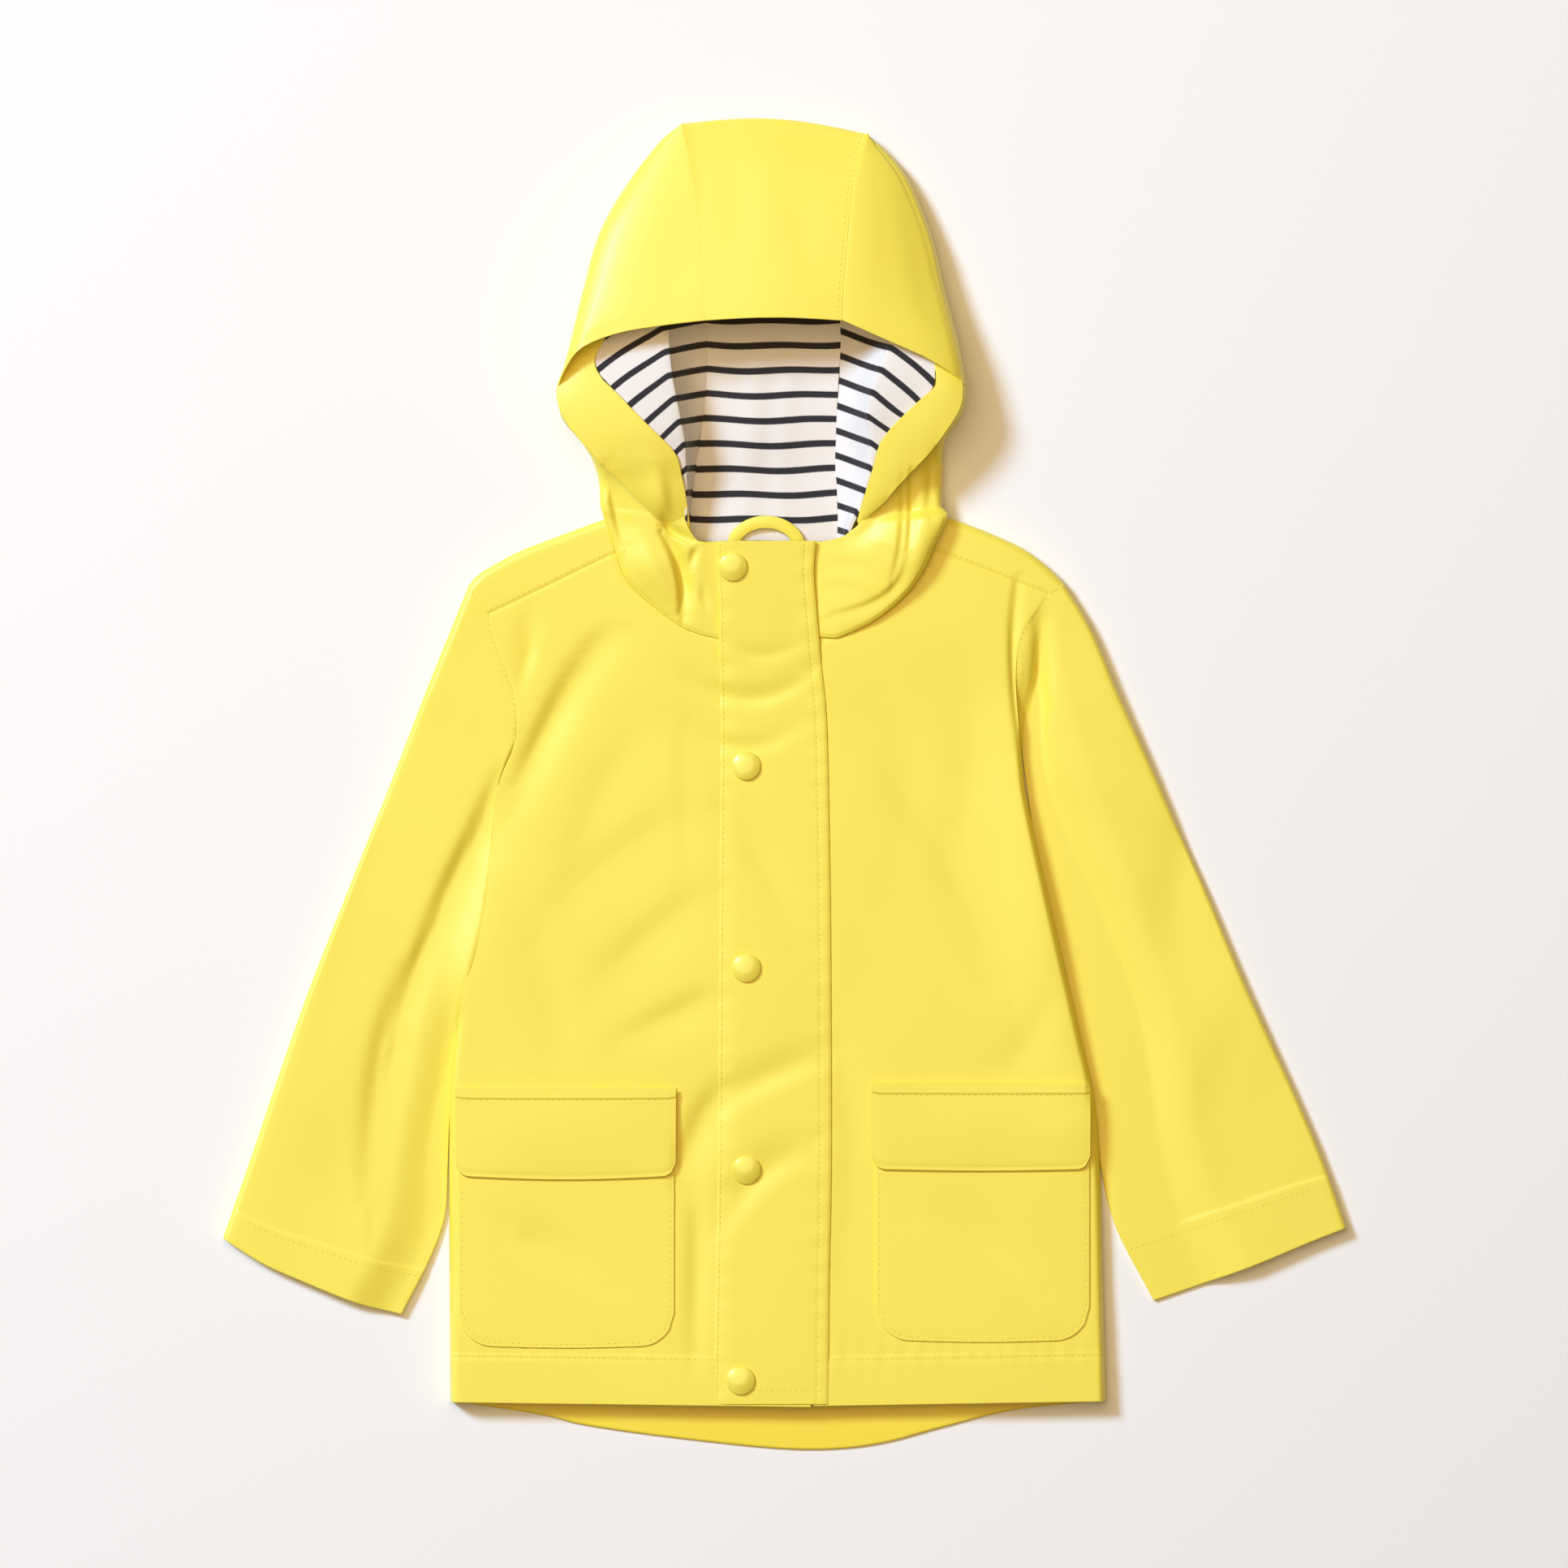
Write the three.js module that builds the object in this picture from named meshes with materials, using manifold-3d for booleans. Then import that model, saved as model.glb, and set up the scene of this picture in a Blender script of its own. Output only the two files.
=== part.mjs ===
// A child's hooded raincoat, laid flat on its back with the snaps closed.
// Millimetres. +Y runs from the hem to the hood and +Z is up from the table.
// Left and right are as seen from above, so the left side is at -X.
// Each piece that is cut and sewn is its own closed wall of cloth.
import * as THREE from 'three';
import { mergeVertices } from 'three/addons/utils/BufferGeometryUtils.js';
import Module from 'manifold-3d';

// Driving dimensions
const cloth = 1.2; // thickness of one wall of coated cloth
const liningCloth = 1.0; // thickness of the striped lining
const seamGap = 0.35; // air between two pieces at a seam
const armholeGap = 0.9; // the same at the armholes, where both edges are curved
const bodyRise = 8.2; // height of the front over the table
const neckRise = 2.0; // extra height of the front round the neck
const hemDip = 0.5; // the front lies this much lower at its hem
const sideRoll = 4.0; // how far in from the side seam the front rolls up
const seamHeight = 1.7; // height of the side seam, just over the back panel
const hoodSeamGap = 0.9; // air at the hood's seams, where the two walls tilt apart
const ridgeGap = 3.0; // how far the hood's side stops short of the ridge
const hoodRoll = 5.0; // plan radius of the fold round the hood
const snapRadius = 7.5;
const snapDome = 2.0;
const flapStep = 0.3; // a piece that lies on another clears it by this

// Colours
const yellow = 0xfae95f;
const liningWhite = 0xf0ebe8;

const yellowCloth = (name) => new THREE.MeshStandardMaterial({
  name, color: yellow, roughness: 0.45, metalness: 0,
});
const stripedCloth = () => new THREE.MeshStandardMaterial({
  name: 'lining', color: liningWhite, roughness: 0.9, metalness: 0,
});

// Tables: the first line names the columns, each row is one section of the piece.
const table = (names, rows) => rows.map(
  (row) => Object.fromEntries(names.split(' ').map((name, k) => [name, row[k]])),
);

// Front panels, a row for each section from the shoulder seam to the hem.
const leftFront = table('sideX sideY innerX innerY', [
  [-154, 87, -88, 119],
  [-150.5, 73.5, -82.5, 105],
  [-144.5, 58.5, -70.5, 93],
  [-139, 40.5, -49.5, 78.5],
  [-140, 21, -19, 72],
  [-149, -1, 13, 70.5],
  [-152, -33.5, 13, 27.5],
  [-155.5, -69.5, 13, -19],
  [-163.5, -111.5, 13, -69.5],
  [-172, -149, 13, -119.5],
  [-173.8, -187, 13, -170],
  [-173.8, -224.5, 13, -216.5],
  [-173.6, -266.5, 13, -262.5],
  [-173, -319.5, 13, -322],
]);
const rightFront = table('sideX sideY innerX innerY', [
  [136.5, 97.5, 76.5, 120.5],
  [127, 85.5, 72, 110.5],
  [121, 73.5, 63, 97.5],
  [119, 56.5, 47, 84],
  [120, 35.5, 28, 75],
  [122.5, 12, 15, 71],
  [125, -8, 15, 31.5],
  [133, -45, 15, -14.5],
  [142.5, -86.5, 15, -65],
  [152, -127.5, 15, -115.5],
  [160, -164, 15, -161.5],
  [163, -203.5, 15, -208],
  [164.5, -262.5, 15, -262.5],
  [166, -319, 15, -321.5],
]);
const armholeRows = 5; // the rows above the armpit

// The fold line of each shoulder, from the neck to the sleeve.
const leftShoulder = table('x y', [[-93.5, 136.5], [-116.5, 128], [-138, 119.5], [-157, 109], [-164, 102]]);
const rightShoulder = table('x y', [[84, 137.5], [104, 130], [123.5, 121], [135.5, 112], [144.5, 103]]);

// The back panel's four edges. Its upper edge follows the nape and the shoulder folds.
const backTop = table('x y', [
  [-154, 87], [-138, 103], [-112.5, 118], [-91.5, 125], [-70.5, 120], [-50, 117], [-5, 116.5],
  [28, 117], [55.5, 120], [80, 125], [104, 120], [122, 110], [136.5, 97.5],
]);
const backHem = table('x y', [
  [-173, -319.5], [-128, -326], [-104.5, -331.5], [-63, -337.5], [-7, -343.5], [26, -344],
  [52.5, -340.5], [80.5, -333], [118, -324], [166, -319],
]);

// Sleeves, a row for each ring from the armhole to the cuff.
const leftSleeve = table('outerX outerY innerX innerY', [
  [-164, 102, -140, 21],
  [-176, 72.5, -150, -5],
  [-189, 40, -154, -46],
  [-203, 3.5, -158.5, -82],
  [-217.5, -33, -165.5, -117.5],
  [-232, -69.5, -171.5, -145],
  [-247, -108, -176, -174.5],
  [-261.5, -149, -176.5, -199.5],
  [-275.5, -190.5, -177, -224.5],
  [-284.5, -216.5, -185, -247],
  [-291, -235, -199, -274.5],
]);
const rightSleeve = table('outerX outerY innerX innerY', [
  [144.5, 103, 120, 35.5],
  [158.5, 80, 125, 4],
  [173, 46, 131.5, -31],
  [188.5, 11.5, 140, -65],
  [204, -24.5, 147, -94.5],
  [219.5, -59.5, 153.5, -123],
  [235, -96.5, 160, -151],
  [249.5, -129, 164.5, -176.5],
  [265, -163, 166.5, -201.5],
  [279, -196.5, 172.5, -231],
  [290.5, -229.5, 191.5, -267.5],
]);
const leftArmhole = table('x y', [
  [-164, 102], [-153.5, 87.5], [-150.5, 73.5], [-144.5, 58.5], [-139, 40.5], [-140, 21],
]);
const rightArmhole = table('x y', [
  [144.5, 103], [136.5, 97.5], [127, 85.5], [121, 73.5], [119, 56.5], [120, 35.5],
]);
const leftCuff = table('x y', [[-291, -235], [-270.5, -248], [-249.5, -257.5], [-222, -268.5], [-199, -274.5]]);
const rightCuff = table('x y', [[290.5, -229.5], [270.5, -237.5], [248, -247], [228.5, -254.5], [191.5, -267.5]]);

// The hood's upper half: the outer fold, the crown seam over it and the back seam on the table.
const hoodUpper = {
  left: table('foldX foldY foldZ seamX seamY seamZ backY', [
    [-58.5, 337.5, 9, -53.5, 338, 9, 334],
    [-79.5, 313, 12, -48.5, 319, 17, 311],
    [-95.5, 285.5, 15, -45, 295.5, 24, 283.5],
    [-104, 256.5, 19, -43.5, 271.5, 29, 258.5],
    [-113, 219.5, 25, -42, 252, 33, 233],
    [-119, 201, 28, -41.5, 238, 35, 202],
  ]),
  right: table('foldX foldY foldZ seamX seamY seamZ backY', [
    [46, 332.5, 9, 42, 333.5, 9, 331],
    [63, 313, 12, 36.5, 317, 17, 311],
    [75.5, 283.5, 15, 33.5, 294.5, 24, 283.5],
    [82.5, 255, 19, 31.5, 271.5, 29, 258.5],
    [90, 224.5, 25, 30, 252, 33, 233],
    [94, 204.5, 30, 29.5, 238, 35, 202],
  ]),
};
// The seams between the hood's back strip and its sides, on the table, from the crown to the nape.
const centreBack = table('leftX leftY rightX rightY', [
  [-53.8, 334, 42.3, 331],
  [-47, 311, 35.5, 311],
  [-44.5, 283.5, 31.5, 283.5],
  [-41, 258.5, 29, 258.5],
  [-40, 233, 28.5, 233],
  [-42.5, 189, 26, 189],
  [-46, 164, 26, 164],
  [-50, 140.5, 26, 140.5],
  [-50.5, 123, 28, 123],
]);
// The brim, from the crown seam out to the hood's corner.
const brim = {
  left: table('x y', [[-41.5, 238], [-63, 235.5], [-86.5, 231.5], [-105, 224], [-113, 214], [-119, 201]]),
  right: table('x y', [[29.5, 238], [42, 232.5], [54.5, 227], [71.5, 219.5], [85, 211.5], [94, 204.5]]),
};
const brimBow = 1.5; // how far the brim's middle stands beyond its two seams
const crownTop = 344; // the top of the fold over the crown

// The hood's lower sides, from the corner to the neck: outer fold, the ridge inside and the back seam.
const hoodLower = {
  left: table('foldX foldY foldZ ridgeX ridgeY ridgeZ backY', [
    [-117.5, 207, 24, -60, 207, 23, 207],
    [-117.5, 198, 22, -58, 198, 23, 197],
    [-114.5, 187, 20, -55, 187, 22, 189],
    [-103, 173, 17, -54, 172, 20, 172],
    [-97, 159, 14, -53.5, 158.5, 18, 157.5],
    [-95.5, 143, 12, -50, 137.5, 15, 140.5],
  ]),
  right: table('foldX foldY foldZ ridgeX ridgeY ridgeZ backY', [
    [92.5, 210, 26, 48, 210, 24, 210],
    [93.5, 201, 24, 47, 201, 24, 201],
    [91, 190, 21, 45, 189, 22, 189],
    [82.5, 176.5, 17, 46.5, 175, 20, 174.5],
    [81.5, 161.5, 14, 45.5, 161.5, 18, 159.5],
    [81, 143, 12, 39.5, 138, 15, 140.5],
  ]),
};
// The collar part of the hood's sides: its upper edge, a row for each section round the neck.
// Its first sections start beside the shoulder, and the others on the front panel's first rows.
const collar = {
  left: table('topX topY topZ swell', [
    [-50, 137.5, 15, 0],
    [-48.5, 129.5, 14.5, 1],
    [-46, 125.5, 14.2, 2.5],
    [-42.5, 124.5, 14, 3.2],
    [-37, 124.5, 13.6, 2.4],
    [-26, 124.5, 13.2, 0.6],
    [-7.5, 124.5, 12.8, 0],
    [13, 124.5, 12.6, 0],
  ]),
  right: table('topX topY topZ swell', [
    [39.5, 138, 15, 0],
    [36.5, 132.5, 14.5, 2],
    [33, 129.5, 14.2, 4.5],
    [30.5, 127.5, 14, 5.5],
    [26, 126, 13.6, 4.5],
    [22, 125, 13.2, 2],
    [18.5, 124.5, 12.8, 0.5],
    [15, 124.5, 12.6, 0],
  ]),
};
const collarStart = {
  left: table('x y', [[-95.5, 143], [-93.5, 136], [-88, 119]]),
  right: table('x y', [[81, 143], [84, 137], [76.5, 120.5]]),
};
const collarRise = 13.6; // height of the collar's upper edge under the placket

// The side lining: from the back seam up its wall to the ridge and out to the facing.
const sideLining = {
  left: table('backX backY ridgeX ridgeY ridgeZ edgeX edgeY edgeZ', [
    [-39.5, 243.5, -63.5, 243.5, 25, -92, 235, 26],
    [-40, 224.5, -63, 224.5, 25, -100.5, 218, 26],
    [-41, 207, -60.5, 208, 25.5, -90.5, 205.5, 26.3],
    [-42, 192, -56.5, 191, 25, -79.5, 193, 26],
    [-44.5, 176.5, -53, 177, 23.2, -68, 181.5, 24.5],
    [-46, 164, -51.5, 166.5, 21.4, -56.5, 169.5, 22.7],
    [-48, 152.5, -50.5, 153.5, 19, -52, 154, 19.4],
  ]),
  right: table('backX backY ridgeX ridgeY ridgeZ edgeX edgeY edgeZ', [
    [28.5, 243.5, 56.5, 235, 26, 76.5, 224, 27],
    [28.5, 224.5, 54.5, 222.5, 26, 77, 212, 27],
    [28, 208, 48.5, 208, 26, 75.5, 203, 26.8],
    [26, 191, 44, 192, 25, 65.5, 193, 26],
    [26, 178.5, 44.5, 180.5, 23.2, 55.5, 184, 24.5],
    [26, 168, 44.5, 171, 21.6, 50, 175, 22.7],
    [26, 157.5, 42.5, 156, 18.8, 44, 156.5, 19.1],
  ]),
};
// The facing along the free edge of the hood, from the corner down to the neck.
const facing = {
  left: table('edgeX edgeY edgeZ innerX innerY innerZ', [
    [-110.5, 215, 26.2, -99.5, 217, 27.8],
    [-114.5, 204.5, 26.4, -95, 209, 28],
    [-115.5, 195.5, 26.2, -87, 201, 27.8],
    [-111.5, 185, 25.8, -78, 191.5, 27.6],
    [-104.5, 175.5, 24.8, -68, 181.5, 26.2],
    [-94.5, 164.5, 23.4, -57, 170, 24.4],
    [-85, 155.5, 21.4, -53.5, 158.5, 22.6],
    [-74.5, 145, 19.6, -51, 145.5, 19.6],
    [-63, 132.5, 17.6, -49, 130, 17.2],
  ]),
  right: table('edgeX edgeY edgeZ innerX innerY innerZ', [
    [86, 211, 27.6, 77.5, 214, 28.6],
    [89.5, 203, 27.8, 77.5, 204.5, 28.6],
    [89, 193, 27.6, 70.5, 198, 28.6],
    [82.5, 181, 26.8, 62.5, 190.5, 27.8],
    [74.5, 170.5, 25.2, 54.5, 182.5, 26.4],
    [65, 160.5, 23.4, 48.5, 173.5, 24.6],
    [57, 152, 21.4, 45.5, 163, 22.6],
    [50, 144, 19.6, 41.5, 150, 19.8],
    [38, 133.5, 17.6, 37, 135.5, 17.4],
  ]),
};
const liningCentre = table('leftX rightX y', [
  [-43.5, 31, 283.5], [-40, 28.5, 233], [-42.5, 26, 189], [-46, 26, 164], [-49, 26.5, 140], [-49.5, 27.5, 124],
]);
const liningWave = 0.7; // height of the loose waves in the centre lining

// The placket, a row for each bend of its two edges.
const placketRows = table('leftX leftY rightX rightY', [
  [-35, 124.5, 15.5, 124.5],
  [-35, 111.5, 14.5, 109],
  [-34, 93, 16, 89],
  [-34, 69.5, 18.5, 61],
  [-33.5, 44, 21, 35.5],
  [-33.5, 9.5, 22, 2],
  [-34, -56.5, 23, -56.5],
  [-34.5, -132.5, 23.5, -132.5],
  [-35, -202, 23.5, -202],
  [-36, -257.5, 22.5, -257.5],
  [-37, -320.5, 22, -320.5],
]);
const placketThickness = 1.6; // two layers of cloth
const snapPlaces = table('x y', [[-27, 111.5], [-20, 9], [-20, -95.5], [-20, -200], [-23, -308.5]]);

// Patch pockets and their flaps, each with its corners.
const pockets = {
  left: { x0: -168.5, x1: -57.5, top: -168, bottom: -290, corner: 17, dip: 1.5 },
  right: { x0: 47, x1: 157, top: -168, bottom: -287, corner: 17, dip: 1.5 },
};
const pocketPuff = 0.6;
const flaps = {
  left: { x0: -170, x1: -56.5, top: -158, bottom: -202.5, corner: 7, dip: 2 },
  right: { x0: 45, x1: 157.5, top: -155.5, bottom: -199, corner: 7, dip: 1 },
};

// The largest folds, each a soft trough (depth over 0) or ridge along a bent line.
const bodyFolds = table('x0 y0 x1 y1 x2 y2 depth width', [
  [-87.5, 78.5, -109, 55.5, -136.5, -1, 1.8, 7],
  [-131, 88.5, -134, 73, -138, 54, 1.0, 6],
  [-112.5, -19, -87, -56.5, -49.5, -119.5, 1.0, 12],
  [120, 106.5, 117, 60, 123, 11.5, 2.2, 5],
  [128, 60, 128.5, 30, 127, -2, -1.0, 4],
  [-53.5, 56, -26, 50, 4, 56, 0.7, 5],
  [40, 20, 80, -30, 110, -100, 0.8, 14],
  [-140, -60, -120, -110, -118, -150, 0.8, 12],
]);
const sleeveFolds = table('x0 y0 x1 y1 x2 y2 depth width', [
  [-150, -4, -176, -47, -193, -90.5, 3.2, 8],
  [-193, -90.5, -206, -122, -217, -192, 2.6, 10],
  [-152, -20, -161, -75, -174, -140, 1.6, 6],
  [-176, -150, -177, -190, -178, -224, 2.8, 8],
  [133, 69.5, 134, 0, 147, -77.5, 4.2, 7],
  [147, -77.5, 158, -132.5, 170, -232, 4.4, 9],
  [215, 0, 205, -40, 200, -85, 1.0, 12],
  [-235, -40, -243, -90, -262, -150, -0.8, 12],
]);

const clamp = (value, low, high) => Math.min(high, Math.max(low, value));
const mix = (a, b, t) => a + (b - a) * t;
const ease = (low, high, value) => {
  const t = clamp((value - low) / (high - low), 0, 1);
  return t * t * (3 - 2 * t);
};

// Smooth value of a column at a row number with a fraction. It passes its rows by no more than this.
const overshoot = 0.4;
function along(rows, name, t) {
  const last = rows.length - 1;
  const i = Math.min(Math.floor(t), last - 1);
  const f = t - i;
  const value = (k) => {
    if (k < 0) return 2 * rows[0][name] - rows[1][name];
    if (k > last) return 2 * rows[last][name] - rows[last - 1][name];
    return rows[k][name];
  };
  const [a, b, c, d] = [value(i - 1), value(i), value(i + 1), value(i + 2)];
  const rise = 0.5 * f * (c - a + f * (2 * a - 5 * b + 4 * c - d + f * (3 * (b - c) + d - a)));
  return clamp(b + rise, Math.min(b, c) - overshoot, Math.max(b, c) + overshoot);
}
const pointAt = (rows, t, xName = 'x', yName = 'y') => new THREE.Vector2(
  along(rows, xName, t),
  along(rows, yName, t),
);
const curveAt = (rows, u) => pointAt(rows, u * (rows.length - 1));
const steps = (count, end = 1) => Array.from({ length: count + 1 }, (_, k) => (end * k) / count);

// Height left by one fold: full along its line, fading over its width and at its ends.
function foldDepth(fold, x, y) {
  let best = 0;
  for (const [ax, ay, bx, by, start] of [
    [fold.x0, fold.y0, fold.x1, fold.y1, 0],
    [fold.x1, fold.y1, fold.x2, fold.y2, 0.5],
  ]) {
    const length = Math.hypot(bx - ax, by - ay);
    const t = clamp(((x - ax) * (bx - ax) + (y - ay) * (by - ay)) / length ** 2, 0, 1);
    const away = Math.hypot(x - mix(ax, bx, t), y - mix(ay, by, t)) / fold.width;
    const route = start + t / 2;
    const fade = 0.35 + 0.65 * Math.sin(Math.PI * clamp(route, 0.02, 0.98));
    best = Math.max(best, fade * Math.exp(-away * away));
  }
  return fold.depth * best;
}
const foldsAt = (folds, x, y) => folds.reduce((sum, fold) => sum + foldDepth(fold, x, y), 0);

// Height of the coat's upper surface, before any edge rolls down.
function coatTop(x, y) {
  const neck = neckRise * ease(25, 85, y) * Math.exp(-((x / 100) ** 2));
  const low = -hemDip * ease(-200, -330, y);
  return bodyRise + neck + low - foldsAt(bodyFolds, x, y);
}

// A closed wall of cloth on a grid of outer points. Its first cell faces up.
function wallGeometry(grid, thickness, ring = false) {
  const rows = grid.length;
  const cols = grid[0].length;
  const at = (i, j) => grid[clamp(i, 0, rows - 1)][ring ? (j + cols) % cols : clamp(j, 0, cols - 1)];
  const normalAt = (i, j) => {
    const down = new THREE.Vector3().subVectors(at(i + 1, j), at(i - 1, j));
    const across = new THREE.Vector3().subVectors(at(i, j + 1), at(i, j - 1));
    return across.cross(down).normalize();
  };
  const turn = normalAt(1, 1).z > 0 ? 1 : -1;
  const points = [];
  for (const side of [0, 1]) {
    for (let i = 0; i < rows; i += 1) {
      for (let j = 0; j < cols; j += 1) {
        points.push(at(i, j).clone().addScaledVector(normalAt(i, j), -turn * side * thickness));
      }
    }
  }
  const index = [];
  const id = (i, j, side) => side * rows * cols + i * cols + (j % cols);
  const quad = (a, b, c, d) => {
    if (turn > 0) index.push(a, b, c, a, c, d);
    else index.push(a, c, b, a, d, c);
  };
  const lastCol = ring ? cols : cols - 1;
  for (let i = 0; i < rows - 1; i += 1) {
    for (let j = 0; j < lastCol; j += 1) {
      quad(id(i, j, 0), id(i + 1, j, 0), id(i + 1, j + 1, 0), id(i, j + 1, 0));
      quad(id(i, j, 1), id(i, j + 1, 1), id(i + 1, j + 1, 1), id(i + 1, j, 1));
    }
  }
  for (let j = 0; j < lastCol; j += 1) {
    quad(id(0, j, 0), id(0, j + 1, 0), id(0, j + 1, 1), id(0, j, 1));
    quad(id(rows - 1, j, 0), id(rows - 1, j, 1), id(rows - 1, j + 1, 1), id(rows - 1, j + 1, 0));
  }
  if (!ring) {
    for (let i = 0; i < rows - 1; i += 1) {
      quad(id(i, 0, 0), id(i, 0, 1), id(i + 1, 0, 1), id(i + 1, 0, 0));
      quad(id(i, cols - 1, 0), id(i + 1, cols - 1, 0), id(i + 1, cols - 1, 1), id(i, cols - 1, 1));
    }
  }
  const geometry = new THREE.BufferGeometry();
  geometry.setAttribute('position', new THREE.Float32BufferAttribute(points.flatMap((p) => p.toArray()), 3));
  geometry.setIndex(signedVolume(points, index) > 0 ? index : index.reverse());
  return geometry;
}
function signedVolume(points, index) {
  let sum = 0;
  for (let k = 0; k < index.length; k += 3) {
    const [a, b, c] = [points[index[k]], points[index[k + 1]], points[index[k + 2]]];
    sum += a.dot(new THREE.Vector3().crossVectors(b, c)) / 6;
  }
  return sum;
}

// A patch between four edges in plan, u across and v along.
function patch(top, bottom, left, right) {
  return (u, v) => {
    const [a, b, c, d] = [top(u), bottom(u), left(v), right(v)];
    const [p, q, r, s] = [top(0), top(1), bottom(0), bottom(1)];
    const blend = (name) => mix(a[name], b[name], v) + mix(c[name], d[name], u)
      - mix(mix(p[name], q[name], u), mix(r[name], s[name], u), v);
    return new THREE.Vector2(blend('x'), blend('y'));
  };
}

// Joining walls of one cut piece
const wasm = await Module();
wasm.setup();
const toSolid = (geometry) => {
  const bare = mergeVertices(geometry.clone(), 1e-4);
  return new wasm.Manifold(new wasm.Mesh({
    numProp: 3,
    vertProperties: new Float32Array(bare.getAttribute('position').array),
    triVerts: new Uint32Array(bare.getIndex().array),
  }));
};
const toGeometry = (solid) => {
  const mesh = solid.getMesh();
  const geometry = new THREE.BufferGeometry();
  geometry.setAttribute('position', new THREE.Float32BufferAttribute(mesh.vertProperties, 3));
  geometry.setIndex([...mesh.triVerts]);
  return geometry;
};
const join = (...parts) => toGeometry(parts.map(toSolid).reduce((whole, part) => whole.add(part)));

// Fronts: a ruled wall from the side seam to the front edge, rolled up at the side.
const rollStops = [0, 0.35, 1.1, 2.4, 4.2];
function frontPoint(rows, t, inset, width) {
  const side = pointAt(rows, t, 'sideX', 'sideY');
  const inner = pointAt(rows, t, 'innerX', 'innerY');
  const place = side.clone().lerp(inner, inset / width);
  const top = coatTop(place.x, place.y);
  const rolled = ease(armholeRows - 0.1, armholeRows + 0.8, t);
  const roll = Math.sqrt(1 - (1 - clamp(inset / sideRoll, 0, 1)) ** 2);
  const height = mix(top, mix(seamHeight, top, roll), rolled);
  return new THREE.Vector3(place.x, place.y, height);
}
function frontGeometry(rows) {
  const columns = 10;
  const rowSteps = [
    ...steps(10, armholeRows).slice(0, -1),
    ...steps(14, rows.length - 1 - armholeRows).map((t) => t + armholeRows),
  ];
  const grid = rowSteps.map((t) => {
    const side = pointAt(rows, t, 'sideX', 'sideY');
    const width = side.distanceTo(pointAt(rows, t, 'innerX', 'innerY'));
    const flat = steps(columns).slice(1).map((u) => mix(rollStops.at(-1), width, u));
    return [...rollStops, ...flat].map((inset) => frontPoint(rows, t, inset, width));
  });
  return wallGeometry(grid, cloth);
}

// The back: a flat panel on the table, carried over each shoulder to the forward seam.
const foldAngles = steps(6, Math.PI);
const shoulderReach = 0.98; // share of the shoulder line that the back covers, clear of the sleeve
function shoulderGeometry(outline, rows) {
  const seamStart = new THREE.Vector2(rows[0].innerX, rows[0].innerY);
  const seamEnd = new THREE.Vector2(rows[0].sideX, rows[0].sideY);
  const grid = steps(8, shoulderReach).map((s) => {
    const fold = curveAt(outline, s);
    const seam = seamStart.clone().lerp(seamEnd, s);
    const inward = seam.clone().sub(fold).normalize();
    const radius = coatTop(fold.x, fold.y) / 2;
    const reach = seam.distanceTo(fold) - seamGap;
    const top = [1, 0.5].map((part) => {
      const place = fold.clone().addScaledVector(inward, mix(radius, reach, part));
      return new THREE.Vector3(place.x, place.y, mix(2 * radius, coatTop(place.x, place.y), part));
    });
    const roll = foldAngles.map((angle) => {
      const place = fold.clone().addScaledVector(inward, radius * (1 - Math.sin(angle)));
      return new THREE.Vector3(place.x, place.y, radius * (1 + Math.cos(angle)));
    });
    const foot = fold.clone().addScaledVector(inward, radius + 14);
    return [...top, ...roll, new THREE.Vector3(foot.x, foot.y, 0)];
  });
  return wallGeometry(grid, cloth);
}
function backGeometry() {
  const armholeShare = 0.24;
  const edge = (front, inward) => (v) => {
    const below = (v - armholeShare) / (1 - armholeShare);
    const t = v < armholeShare
      ? (v / armholeShare) * armholeRows
      : mix(armholeRows, front.length - 1, below);
    const place = pointAt(front, t, 'sideX', 'sideY');
    place.x += inward * seamGap;
    return place;
  };
  const plan = patch(
    (u) => curveAt(backTop, u),
    (u) => curveAt(backHem, u),
    edge(leftFront, 1),
    edge(rightFront, -1),
  );
  const down = [
    ...steps(8, armholeShare).slice(0, -1),
    ...steps(10, 1 - armholeShare).map((v) => v + armholeShare),
  ];
  const grid = down.map((v) => steps(12).map((u) => {
    const place = plan(u, v);
    return new THREE.Vector3(place.x, place.y, cloth);
  }));
  return wallGeometry(grid, cloth);
}

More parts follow.
